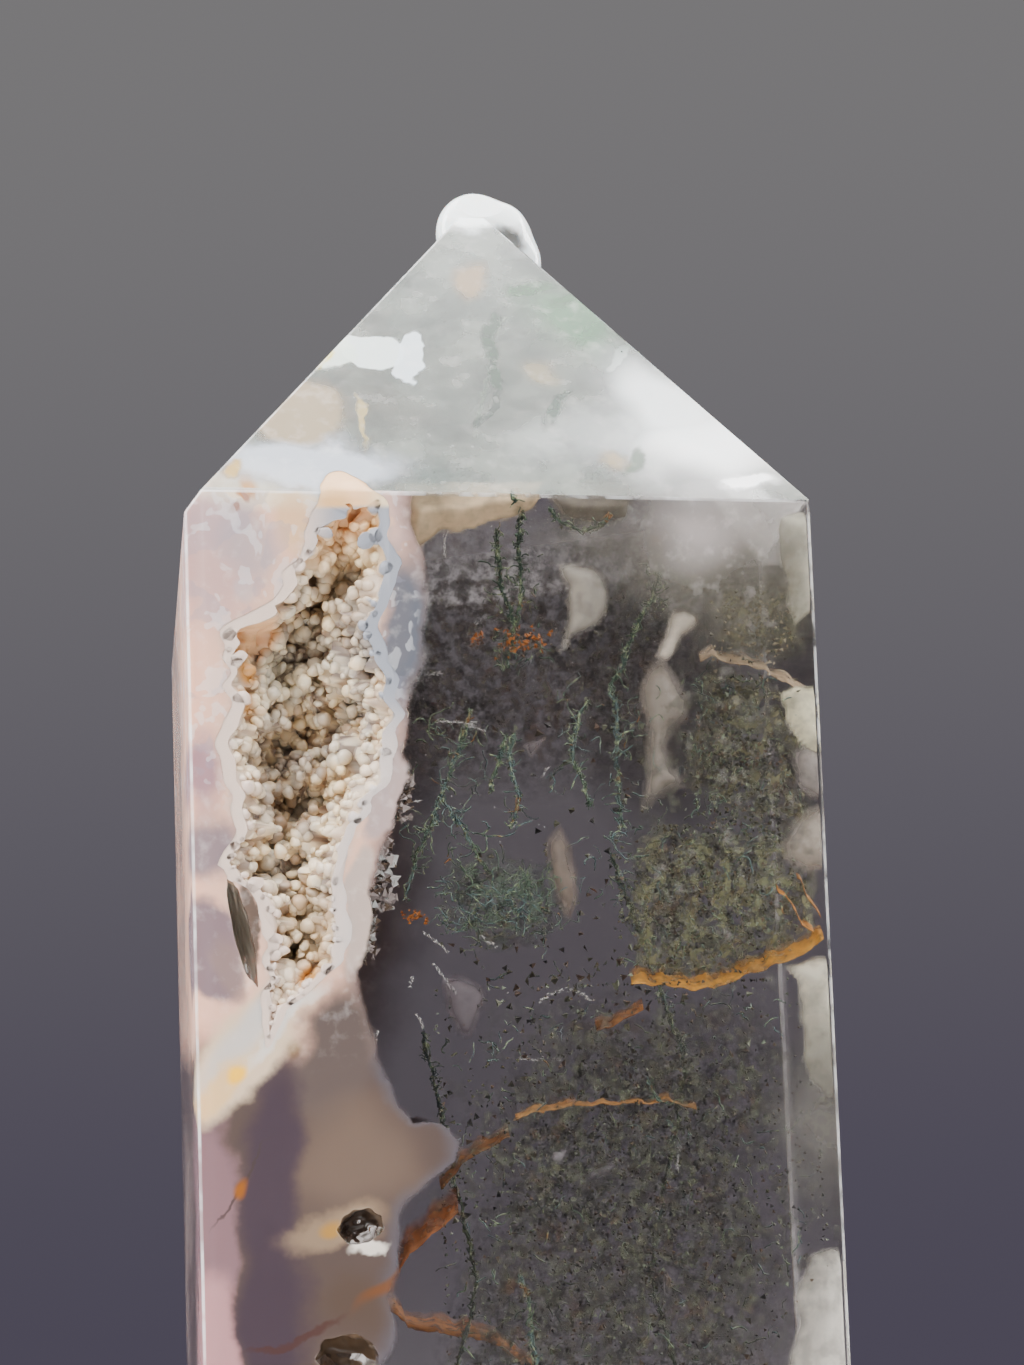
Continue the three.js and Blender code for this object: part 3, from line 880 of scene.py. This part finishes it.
def within(x, z, outline):
    """How far a place is inside an outline, in millimetres. Outside it is less than 0."""
    is_inside = False
    nearest = math.inf
    for (x1, z1), (x2, z2) in zip(outline, outline[1:] + outline[:1]):
        if (z1 > z) != (z2 > z) and x < x1 + (z - z1) * (x2 - x1) / (z2 - z1):
            is_inside = not is_inside
        along = ((x - x1) * (x2 - x1) + (z - z1) * (z2 - z1)) / ((x2 - x1) ** 2 + (z2 - z1) ** 2)
        along = max(0, min(1, along))
        nearest = min(nearest, math.hypot(x1 + along * (x2 - x1) - x, z1 + along * (z2 - z1) - z))
    return nearest if is_inside else -nearest


def lens(depth, thickness, fade, colour, outline):
    """The two sides of a lens, which carry its colour and how much of it covers as "tint"."""
    low = Vector([min(p[k] for p in outline) for k in (0, 1)])
    size = Vector([max(p[k] for p in outline) for k in (0, 1)]) - low
    steps = [max(4, int(s / MASS_GRID)) for s in size]
    shade = tone(colour)[:3]
    sides = []
    for side in (-1, 1):
        bm = bmesh.new()
        tint = bm.verts.layers.float_color.new("tint")
        bmesh.ops.create_grid(bm, x_segments=steps[0], y_segments=steps[1], size=0.5)
        beyond = []
        for vert in bm.verts:
            x, z = (low[k] + size[k] * (vert.co[k] + 0.5) for k in (0, 1))
            shake = noise.noise_vector(Vector((x, 0, z)) * 1.6) * OUTLINE_TREMOR
            inward = within(x + shake.x, z + shake.z, outline)
            if inward < -MASS_GRID:
                beyond.append(vert)
            swell = 1 - (1 - max(0, min(1, inward / (FULL_SWELL * thickness)))) ** 2
            y = skin(x, z) + depth + thickness / 2 * (1 + side * swell)
            vert.co = (min(x, corner(1, -1, z).x - SIDE_GAP), y, z)
            vert[tint] = (*shade, max(0, min(1, inward / fade)))
        bmesh.ops.delete(bm, geom=beyond, context="VERTS")
        sides.append(piece("lens", bm))
    return sides


masses = piece("milky_masses", taken_up(*(side for mass in MASSES for side in lens(*mass))))

material, tree, place = new_material("clouded chalcedony")
colour = attribute(tree, "tint", "Color")
cover = attribute(tree, "tint", "Alpha")
mottle = noise_at(place, 0.9, 3)
colour = mix(ramp(mottle, 0.45, 0.75) * 0.25, colour, "6e6a64")
cloudy = cover * (0.75 + 0.25 * ramp(mottle, 0.65, 0.4))
looks = {"Base Color": colour, "Roughness": 0.6, "Alpha": cloudy}
coat(masses, material, looks)
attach(masses, "root")

# The moss threads
# Clay minerals, green and brown, that grew as threads in the gel before it set. They are sealed in
# the stone, long ones with twigs and thickets of short ones, each a thin tube along its path.
THREAD_STEP = 0.16
ROUTE_TREMOR = 0.12
STRAND_SPREAD = 0.09
ROUTE_RADIUS, STRAND_RADIUS, TWIG_RADIUS = 0.06, 0.04, 0.028
THICKET_RADII = (0.015, 0.04)
SIDE_MARGIN, FRONT_MARGIN, HOLLOW_MARGIN, BASE_MARGIN = 0.4, 0.1, 0.6, 0.6
# Routes of the long threads, as they show from the front: x, depth behind the face, z.
ROUTES = (
    ((0.7, 0.6, 75.4), (1.1, 2, 74.9), (1, 4, 73.7), (1.2, 5, 72.4), (1.1, 5, 71.1), (0.8, 5, 69.9)),
    ((0, 3, 74.1), (0.1, 4, 72.8), (0.4, 5, 71.5), (0.8, 5, 69.9), (0.7, 5.5, 68.9), (0.4, 5, 68)),
    ((2.3, 1, 74.9), (2.9, 1, 74.2), (3.8, 1, 73.9), (4.8, 1, 74.2), (5.2, 1, 74.7)),
    ((7.3, 3, 73.5), (7.2, 3, 72.6), (7.4, 3.5, 72), (7.1, 4, 71.3), (6.8, 4, 70.6),
     (6.5, 4.5, 70.1), (5.8, 5, 68.7), (5.6, 5, 67.9), (5.1, 5, 67.2), (5.2, 5, 66.5)),
    ((7.4, 3.5, 72.1), (7.9, 3.5, 72.1), (8.4, 3.5, 71.8), (8.8, 3, 71.5), (9.2, 3, 71.3)),
    ((5.2, 5, 66.5), (5.3, 5, 65.4), (5.3, 5, 64.5), (5.2, 5, 63.4), (5.3, 5, 62), (5.4, 5, 60.5)),
    ((3.9, 5, 66.5), (3.5, 5, 65.4), (3.2, 5, 64.5), (3.1, 5, 63.9), (3.5, 5, 63.3), (4, 5, 61.6)),
    ((0.6, 4, 65.1), (0.4, 4, 64.4), (0.3, 4, 63.7), (0.5, 4, 62.8), (0.7, 4, 62.1), (0.2, 4, 60.6)),
    ((0.2, 5, 65), (0, 5, 64), (-0.4, 5, 63.1), (-0.6, 5, 62.2)),
    ((-1.3, 4, 66.1), (-1.7, 4, 65), (-2, 4.5, 64.2), (-2.8, 4, 62.2), (-3.5, 4, 60.7),
     (-4.1, 4, 59.2), (-4.6, 4, 57.6)),
    ((-2.8, 4, 62.2), (-2.2, 4, 61.3), (-1.5, 4, 60), (-0.7, 4, 58.6)),
    ((-0.2, 1.5, 41), (0, 1.5, 40.1), (0.2, 1.5, 38.8), (0.4, 1.5, 37.3), (0.1, 2, 34)),
    ((5.8, 1, 49.4), (6, 1, 48.6), (6.4, 1, 48.2)),
    ((1.6, 0.4, 85), (1.2, 0.5, 84.4), (0.8, 0.6, 83.5), (0.5, 0.6, 82.4), (0.2, 0.8, 81.3),
     (-0.1, 0.8, 80.2), (-0.5, 1, 79.1), (-0.7, 1, 78.3)),
    ((7.4, 0.5, 83.1), (6.8, 0.5, 82.7), (6.2, 0.6, 82.3)),
    ((4, 0.6, 80.7), (3.6, 0.6, 80.6), (3.4, 0.8, 79.9), (3.1, 1, 79.1), (3.2, 1.5, 77.5)),
    ((4.7, 0.8, 76.4), (5.3, 0.6, 76.9), (6, 0.5, 77.5)),
    ((3, 17, 8), (5, 15, 16), (3, 18, 24), (6, 16, 33)),
    ((-5, 20, 12), (-2, 21, 22), (-4, 19, 30), (-1, 20, 40), (-3, 21, 52)),
    ((9, 19, 30), (7, 21, 40), (9, 20, 50), (6, 21, 60)),
)
# Thickets of short threads: middle as above, half sizes, how many, and how long.
THICKETS = (
    ((-0.3, 3.5, 57.3), (2.7, 1.4, 1.3), 150, 1.6),
    ((-2.5, 4.5, 62), (2, 1, 3.4), 50, 2.2),
    ((4.5, 4, 62), (2.6, 2, 5), 80, 1.4),
    ((8.8, 2.2, 57.5), (3.6, 1.6, 3), 110, 1),
    ((10.8, 2, 63.5), (2.6, 1.4, 3.8), 80, 1),
    ((5, 2.4, 45), (8, 2, 8), 200, 0.9),
    ((0.9, 5, 70.6), (1.1, 0.6, 2.6), 70, 0.9),
    ((7.3, 3.6, 71.6), (0.6, 0.4, 1.2), 40, 0.6),
    ((4.6, 1, 85.2), (2.2, 0.5, 2.2), 150, 0.8),
    ((0.5, 14, 18), (10, 9, 15), 330, 1.6),
    ((5, 20, 48), (7, 4, 18), 110, 1.6),
)


def sunk(x, depth, z):
    return Vector((x, skin(x, z) + depth, z))


def grow(start, heading, length, curl):
    """A thread that starts at a place and wanders."""
    path = [start]
    for _ in range(int(length / THREAD_STEP)):
        heading = (heading + curl * shaken()).normalized()
        path.append(path[-1] + heading * THREAD_STEP)
    return path


def follow(stops, tremor):
    """A path from stop to stop, with a tremor."""
    path = []
    for start, end in zip(stops, stops[1:]):
        steps = max(1, int((end - start).length / THREAD_STEP))
        path += [start.lerp(end, k / steps) for k in range(steps)]
    return [p + noise.noise_vector(p * 1.4) * tremor + shaken() * 0.02 for p in path]


def well_inside(spot):
    """Whether a place is in the clear stone, away from its faces and from the hollow."""
    rim = np.interp(spot.z, HOLLOW[:, 0], HOLLOW[:, 2]) + HOLLOW_MARGIN
    half = corner(1, 1, spot.z)
    in_depth = skin(spot.x, spot.z) + FRONT_MARGIN < spot.y < half.y - SIDE_MARGIN
    in_prism = in_depth and abs(spot.x) < half.x - SIDE_MARGIN
    in_point = spot.z < 70 or (spot.z - 70) / 22 + max(abs(spot.x), abs(spot.y)) / half.x < 0.97
    by_hollow = spot.x < rim and spot.y < -5 and 50 < spot.z < 78
    return in_prism and in_point and not by_hollow and spot.z > BASE_MARGIN


random.seed(11)
threads = []
along_routes = []
for route in ROUTES:
    path = follow([sunk(*stop) for stop in route], ROUTE_TREMOR)
    threads.append((path, ROUTE_RADIUS))
    threads += [([p + shaken() * STRAND_SPREAD for p in path], STRAND_RADIUS) for _ in range(2)]
    for spot in path:
        along_routes.append(spot)
        for _ in range(random.choice((0, 1, 2))):
            twig = grow(spot, shaken().normalized(), random.uniform(0.16, 0.7), 0.5)
            threads.append((twig, TWIG_RADIUS))
for (x, depth, z), half, count, length in THICKETS:
    middle = sunk(x, depth, z)
    for _ in range(count):
        start = middle + Vector([random.uniform(-1, 1) * h for h in half])
        heading = (shaken() + Vector((0, 0, 0.8))).normalized()
        path = grow(start, heading, length * random.uniform(0.4, 1.4), 0.45)
        if all(well_inside(p) for p in path):
            threads.append((path, random.uniform(*THICKET_RADII)))
curve = bpy.data.curves.new("threads", "CURVE")
curve.dimensions = "3D"
curve.bevel_depth = MM
curve.bevel_resolution = 0
curve.use_fill_caps = True
for path, thickness in threads:
    spline = curve.splines.new("POLY")
    spline.points.add(len(path) - 1)
    for point, spot in zip(spline.points, path):
        point.co = (*(spot * MM), 1)
        point.radius = thickness * random.uniform(0.6, 1.4)
tubes = put("moss tubes", curve)
mesh = bpy.data.meshes.new_from_object(tubes)
bpy.data.objects.remove(tubes)
moss = put("moss_threads", mesh)

material, _, place = new_material("moss green")
blend = blotches(place, 0.5, 2, 0.4, 0.6)
colour = mix(blend, "566a58", "5c7272")
colour = mix(ramp(place.part("Z"), 66, 70), colour, "2c4634")
colour = mix(blotches(place, 3, 2, 0.5, 0.7), colour, "a4b48c")
colour = mix(blotches(place, 0.8, 2, 0.62, 0.72), colour, "8a5a24")
looks = {"Base Color": colour, "Roughness": 0.7}
coat(moss, material, looks)
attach(moss, "root")

# The moss flecks
# Specks of the same minerals between the threads, and a few of iron and sand. Each is a tiny
# three-sided cone, and all are one mesh, sealed in the stone, with a colour at each vertex.
SAGE, OLIVE, DARK, BROWN, RUST = "7e8872", "4c4c38", "2c2e2a", "5c4a3a", "a8641e"
SANDY, WHITE, PINKISH = "b4a68c", "c8c8c6", "a09490"
# Clouds of flecks: middle as above, half sizes, how many, size, and colours to choose from.
CLOUDS = (
    ((5, 2.2, 45), (8.4, 1.8, 8.6), 3600, 0.14, (SAGE, OLIVE, DARK, DARK, DARK, BROWN)),
    ((8.8, 2.2, 57.3), (3.9, 1.6, 3.3), 1700, 0.16, (SAGE, OLIVE, OLIVE, DARK, BROWN)),
    ((10.6, 2, 63.2), (2.6, 1.4, 4), 1100, 0.17, (SAGE, OLIVE, OLIVE, DARK, BROWN)),
    ((-4.7, 0.6, 62.6), (0.4, 0.4, 1.4), 160, 0.3, (PINKISH, PINKISH, BROWN)),
    ((-5.8, 0.6, 59.2), (0.6, 0.4, 1.9), 300, 0.34, (WHITE, PINKISH, PINKISH, BROWN)),
    ((-6.5, 0.6, 56.4), (0.4, 0.4, 1.4), 160, 0.3, (WHITE, PINKISH, BROWN)),
    ((11.5, 1.5, 69), (2, 1, 2), 300, 0.15, (SANDY, BROWN, OLIVE)),
    ((-0.3, 3.5, 57), (2.6, 1.2, 1.6), 260, 0.12, (SAGE, SAGE, OLIVE, DARK)),
    ((1.1, 4.6, 69.2), (1.3, 0.6, 0.7), 160, 0.2, (RUST, RUST, BROWN)),
    ((-0.6, 5.2, 69.3), (0.6, 0.4, 0.4), 50, 0.18, (RUST, BROWN)),
    ((7.3, 3, 73.5), (0.25, 0.2, 0.25), 24, 0.14, (RUST, SANDY)),
    ((-4.2, 2.5, 56.9), (0.6, 0.4, 0.3), 40, 0.14, (RUST,)),
    ((12.1, 1, 73), (0.4, 0.4, 0.6), 60, 0.16, (RUST, SANDY)),
    ((0.5, 14, 18), (10.5, 9, 15), 2600, 0.28, (SAGE, OLIVE, DARK, BROWN)),
    ((5, 20, 48), (7, 4, 18), 900, 0.28, (SAGE, OLIVE, DARK, BROWN)),
    ((1, 2.5, 66), (5, 2, 9), 200, 0.05, (WHITE,)),
)
lays = []
shades = []
for (x, depth, z), half, count, size, colours in CLOUDS:
    middle = sunk(x, depth, z)
    for _ in range(count):
        offset = Vector([max(-1, min(1, random.gauss(0, 0.5))) * h for h in half])
        spot = middle + offset
        if noise.noise(spot * 0.5) + noise.noise(spot * 1.3) < random.uniform(-0.7, 0.1):
            continue
        if well_inside(spot):
            stretch = Vector([size * random.uniform(0.2, 1) for _ in range(3)])
            lays.append(Matrix.LocRotScale(spot, any_turn(), stretch))
            shades.append(random.choice(colours))
for spot in along_routes:
    for _ in range(2):
        beside = spot + shaken() * 0.07
        if skin(beside.x, beside.z) + 0.15 < beside.y:
            size = random.uniform(0.03, 0.12)
            lays.append(Matrix.LocRotScale(beside, any_turn(), (size,) * 3))
            shades.append(random.choice((SAGE, SAGE, OLIVE, "46604c")))
fleck = bmesh.new()
bmesh.ops.create_cone(fleck, cap_ends=True, segments=3, radius1=1, radius2=0, depth=1.3)
flecks = copies("moss_flecks", fleck, lays)
marks = flecks.data.attributes.new("tint", "FLOAT_COLOR", "POINT")
each = len(flecks.data.vertices) // len(lays)
shades = np.repeat(np.array([tone(s) for s in shades]), each, axis=0)
marks.data.foreach_set("color", shades.ravel())
flecks.data.shade_flat()

material, tree, _ = new_material("moss flecks")
coat(flecks, material, {"Base Color": attribute(tree, "tint", "Color"), "Roughness": 0.6})
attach(flecks, "root")

# The moss veils
# Moss too fine to show as threads clouds the stone in soft veils, sealed in it and made as the
# milky masses are: depth, thickness, how wide its edge fades, colour, and outline of each.
VEILS = (
    (1.2, 2.4, 0.5, "7a7658", (
        (8.7, 67.6), (10.2, 67.7), (12, 67.2), (13.9, 65.6), (13.9, 60.4), (12.4, 60.2),
        (10, 61.2), (8, 62.2), (8.2, 64.5), (8.9, 66),
    )),
    (1.4, 2.4, 0.6, "84845f", (
        (5.6, 60.2), (7.4, 60.7), (9.3, 60.4), (13, 60.2), (13.9, 58.2), (13.9, 55.6),
        (11.5, 54.2), (8.2, 53.5), (5.4, 53.9), (5.2, 57.2),
    )),
    (1.6, 2.6, 2.4, "403e39", (
        (0.6, 51), (2, 53), (4.4, 53.6), (6, 52.4), (8.6, 53), (10.8, 53.3), (12.6, 50.6),
        (12.4, 47.8), (10.8, 44.4), (12.2, 41.3), (11.4, 38.3), (11.8, 30), (-3.4, 30),
        (-4.2, 38), (-2.8, 42), (-1.4, 46), (-1.2, 49),
    )),
    (3.2, 1.8, 0.8, "5a6a58", (
        (-2.8, 59.4), (-0.4, 60), (2.2, 58.8), (2.8, 56.8), (1.6, 55.4), (-1.2, 55.2), (-3, 56.8),
    )),
    (1.2, 1.6, 0.9, "857f5c", (
        (9.2, 71.4), (12, 71.9), (13.6, 71.2), (13.8, 68), (11.6, 67.8), (9.4, 68.4),
    )),
    (20, 3, 4, "5a5652", ((-7, 62), (12, 63), (13, 75), (5, 77), (-6, 77))),
)
veils = piece("moss_veils", taken_up(*(side for veil in VEILS for side in lens(*veil))))
material, tree, place = new_material("moss veil")
colour = attribute(tree, "tint", "Color")
cover = attribute(tree, "tint", "Alpha")
colour = mix(blotches(place, 1.1, 3, 0.46, 0.6), colour, "2c2824")
colour = mix(blotches(place, 0.8, 3, 0.56, 0.66) * 0.7, colour, "5c3f24")
colour = mix(blotches(place, 3.2, 3, 0.54, 0.72) * 0.7, colour, "8f987c")
cloudy = cover * ramp(noise_at(place, 1.7, 6, 0.65), 0.4, 0.62) * 0.8
looks = {"Base Color": colour, "Roughness": 0.7, "Alpha": cloudy}
coat(veils, material, looks)
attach(veils, "root")

# The iron veins
# Old cracks that iron stained orange and brown before they healed, and the tan seam on the right.
# Each is a thin sheet sealed in the stone, which reaches back and rises from its front edge.
VEIN_THICKNESS = 0.00003
VEIN_TREMOR = 0.2
# How opaque a sheet is at its front edge and at each third of its way back
SHEET_OPACITIES = (1, 0.9, 0.6, 0)
# Each vein: how far it rises and reaches back, colour, and its front edge in x, depth and z.
VEINS = (
    (0.75, 1.5, "d89a38", (
        (5.2, 1, 53.6), (6.4, 1, 53.5), (7.8, 1, 53.3), (8.9, 1, 53.3), (10, 1, 53.6),
        (11.2, 1, 54.1), (12.3, 1, 54.5), (13.2, 0.7, 54.9), (14, 0.5, 55.4),
    )),
    (0.5, 1, "94602c", ((3.6, 1.5, 51.6), (4.6, 1.5, 51.9), (5.8, 1.5, 52.5))),
    (0.3, 0.8, "c08c50", (
        (-0.2, 1, 47.8), (0.9, 1, 48.2), (2.2, 1, 48.3), (3.6, 1, 48.4), (5.3, 1, 48.3),
        (6, 1, 48.4), (7.1, 1, 48.2), (8, 1, 48),
    )),
    (0.6, 1.5, "8c5a2a", ((-3.5, 2, 44.9), (-2.6, 2, 45.9), (-1.3, 2, 46.7), (-0.2, 2, 47.1))),
    (1.2, 1.5, "9c5c26", ((-5.6, 1.2, 41.5), (-5, 1.5, 42.2), (-3.9, 1.5, 43.1), (-2.7, 1.5, 44.1))),
    (0.3, 0.8, "c48436", ((11.9, 1, 57.5), (12.5, 1, 56.9), (13, 1, 56), (13.6, 1, 55.4))),
    (0.3, 0.8, "b87c3a", ((12.9, 1.5, 58), (13.4, 1.3, 57.1), (13.8, 1, 56))),
    (0.6, 1.2, "c4aa88", (
        (8.8, 1, 67.9), (9.4, 1, 68.1), (10.2, 1, 67.8), (11.1, 1, 67.6), (11.7, 1, 67.5),
        (12.4, 1, 67), (13.3, 1, 66.5), (13.9, 1, 66),
    )),
    (0.8, 4, "a06428", ((2, 12, 20), (6, 13, 22), (10, 14, 21), (13.6, 14, 24))),
    (0.8, 4, "b47830", ((3, 21, 34), (0, 22, 37), (-4, 22, 38), (-8, 22, 42))),
)
sheets = []
for rise, reach, colour, stops in VEINS:
    path = follow([sunk(*stop) for stop in stops], VEIN_TREMOR)
    shade = tone(colour)[:3]
    bm = bmesh.new()
    tint = bm.verts.layers.float_color.new("tint")
    row = [bm.verts.new(p) for p in path]
    edges = [bm.edges.new(pair) for pair in zip(row, row[1:])]
    for vert in row:
        vert[tint] = (*shade, SHEET_OPACITIES[0])
    for opacity in SHEET_OPACITIES[1:]:
        swept = bmesh.ops.extrude_edge_only(bm, edges=edges)
        edges = [e for e in swept["geom"] if isinstance(e, bmesh.types.BMEdge)]
        edges = [e for e in edges if len(e.link_faces) == 1]
        moved = [v for v in swept["geom"] if isinstance(v, bmesh.types.BMVert)]
        for vert in moved:
            vert.co += Vector((0, reach / 3, rise / 3 + 0.15 * noise.noise(vert.co * 1.7)))
            vert[tint] = (*shade, opacity)
    bmesh.ops.recalc_face_normals(bm, faces=bm.faces)
    sheets.append(piece("vein", bm))
veins = piece("iron_veins", taken_up(*sheets))
wall = veins.modifiers.new("thickness", "SOLIDIFY")
wall.thickness = VEIN_THICKNESS
settle(veins)

material, tree, place = new_material("iron stain")
colour = attribute(tree, "tint", "Color")
cover = attribute(tree, "tint", "Alpha")
cloudy = blotches(place, 1.6, 4, 0.3, 0.6)
colour = mix(blotches(place, 2.2, 2, 0.45, 0.75) * 0.6, colour, "5c3c1c")
looks = {"Base Color": colour, "Roughness": 0.6, "Alpha": cover * (0.45 + 0.55 * cloudy)}
coat(veins, material, looks)
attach(veins, "root")

# The healed cracks
# Small curved flaws near the front that catch the light, white and thin. Each is a row of flakes
# sealed in the stone: its start in x, depth and z, its length, and its lean in degrees.
FLAWS = (
    ((-3, 2, 65.5), 1.8, 85), ((-1.6, 2, 65.3), 0.9, 100), ((-2.9, 2, 55.3), 1.3, -40),
    ((-0.7, 2, 55.5), 0.9, -60), ((-2.6, 1.5, 53.5), 1.7, -25), ((-4.1, 1.5, 52), 0.7, -15),
    ((-4.6, 1.5, 53.8), 0.6, 10), ((0.2, 3, 50.5), 2.2, 92), ((1.2, 2.5, 53), 2.6, 70),
    ((-3.4, 2, 70.4), 0.6, 10), ((-1.1, 2, 69.9), 0.5, 60), ((-3.3, 2, 67.6), 0.6, 80),
    ((-2.4, 2.5, 73), 1.1, 0), ((1.6, 2, 63), 0.5, 40), ((-5, 0.8, 61.7), 1.2, 75),
    ((6.9, 1, 45.4), 1, 10), ((-6.4, 0.8, 50.9), 1.2, 2),
)
FLAW_CURL = 0.12
random.seed(5)
lays = []
for (x, depth, z), length, lean in FLAWS:
    tilt = math.radians(lean)
    path = grow(sunk(x, depth, z), Vector((math.sin(tilt), 0, math.cos(tilt))), length, FLAW_CURL)
    for spot in path:
        for _ in range(3):
            size = Vector((random.uniform(0.01, 0.035), 0.015, random.uniform(0.04, 0.13)))
            turned = Euler((random.uniform(-0.5, 0.5), math.radians(lean + random.gauss(0, 20)), 0))
            lays.append(Matrix.LocRotScale(spot + shaken() * 0.04, turned, size))
flake = bmesh.new()
bmesh.ops.create_icosphere(flake, subdivisions=1, radius=1)
flaws = copies("healed_cracks", flake, lays)
material, _, _ = new_material("healed crack")
coat(flaws, material, {"Base Color": tone("d8d6d4"), "Roughness": 0.3, "Alpha": 0.5})
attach(flaws, "root")

# The floor and the light
# A plain pale floor and soft boxes: a large one overhead, a strip on each side to draw the edges,
# a weak one in front, and a small one for the glint by the shoulder. A dim sky fills in the rest.
FLOOR_RADIUS = 200
FLOOR_GAP = 0.0002
bm = bmesh.new()
bmesh.ops.create_circle(bm, cap_ends=True, segments=96, radius=FLOOR_RADIUS)
floor = piece("floor", bm)
material, _, _ = new_material("floor")
coat(floor, material, {"Base Color": (0.5, 0.49, 0.48, 1), "Roughness": 0.6})
floor.location.z = -FLOOR_GAP


def soft_box(name, place, target, width, height, watts):
    light = bpy.data.lights.new(name, "AREA")
    light.shape = "RECTANGLE"
    light.size, light.size_y = width, height
    light.energy = watts
    lamp = put(name, light)
    lamp.location = place
    lamp.rotation_euler = (Vector(target) - Vector(place)).to_track_quat("-Z", "Y").to_euler()


soft_box("overhead", (0.02, -0.1, 0.52), (0.02, -0.1, 0), 1.3, 1.1, 29)
soft_box("left strip", (-0.36, 0.12, 0.16), (0, 0, 0.05), 0.12, 0.4, 3)
soft_box("right strip", (0.36, 0.12, 0.16), (0, 0, 0.05), 0.12, 0.4, 3)
soft_box("front fill", (-0.28, -0.35, 0.3), (0, 0, 0.06), 0.4, 0.4, 3)
soft_box("glint", (0.098, -0.027, 0.466), (0.0118, -0.012, 0.0762), 0.014, 0.006, 0.006)

world = bpy.data.worlds.new("studio")
world.use_nodes = True
bpy.context.scene.world = world
tree = world.node_tree
up = add(tree, "TexCoord", {}, "Generated").part("Z")
sky = mix(ramp(up, -0.1, 0.3), (0.078, 0.068, 0.098, 1), (0.19, 0.185, 0.19, 1))
tree.links.new(sky.socket, tree.nodes["Background"].inputs["Color"])

# The camera
# It stands in front of the tower, a little to its left and below what the picture shows, and looks
# slightly up. Its lens, angles and place were fitted to the corners in the photograph.
PHOTO_HEIGHT = 1365
FOCAL_PIXELS = 3657
SENSOR = 36
AZIMUTH, ELEVATION, ROLL = (math.radians(a) for a in (-6.88, -5.68, -2.03))
DISTANCE = 0.1751
TARGET = Vector((0.00184, 0, 0.06837))
camera = put("camera", bpy.data.cameras.new("camera"))
camera.data.sensor_width = SENSOR
camera.data.lens = FOCAL_PIXELS / PHOTO_HEIGHT * SENSOR
camera.data.clip_start = 0.01
level = math.cos(ELEVATION)
back = Vector((math.sin(AZIMUTH) * level, -math.cos(AZIMUTH) * level, math.sin(ELEVATION)))
right = Vector((math.cos(AZIMUTH), math.sin(AZIMUTH), 0))
upwards = back.cross(right)
tilted_right = right * math.cos(ROLL) + upwards * math.sin(ROLL)
tilted_up = upwards * math.cos(ROLL) - right * math.sin(ROLL)
camera.rotation_euler = Matrix((tilted_right, tilted_up, back)).transposed().to_euler()
camera.location = TARGET + back * DISTANCE
bpy.context.scene.camera = camera
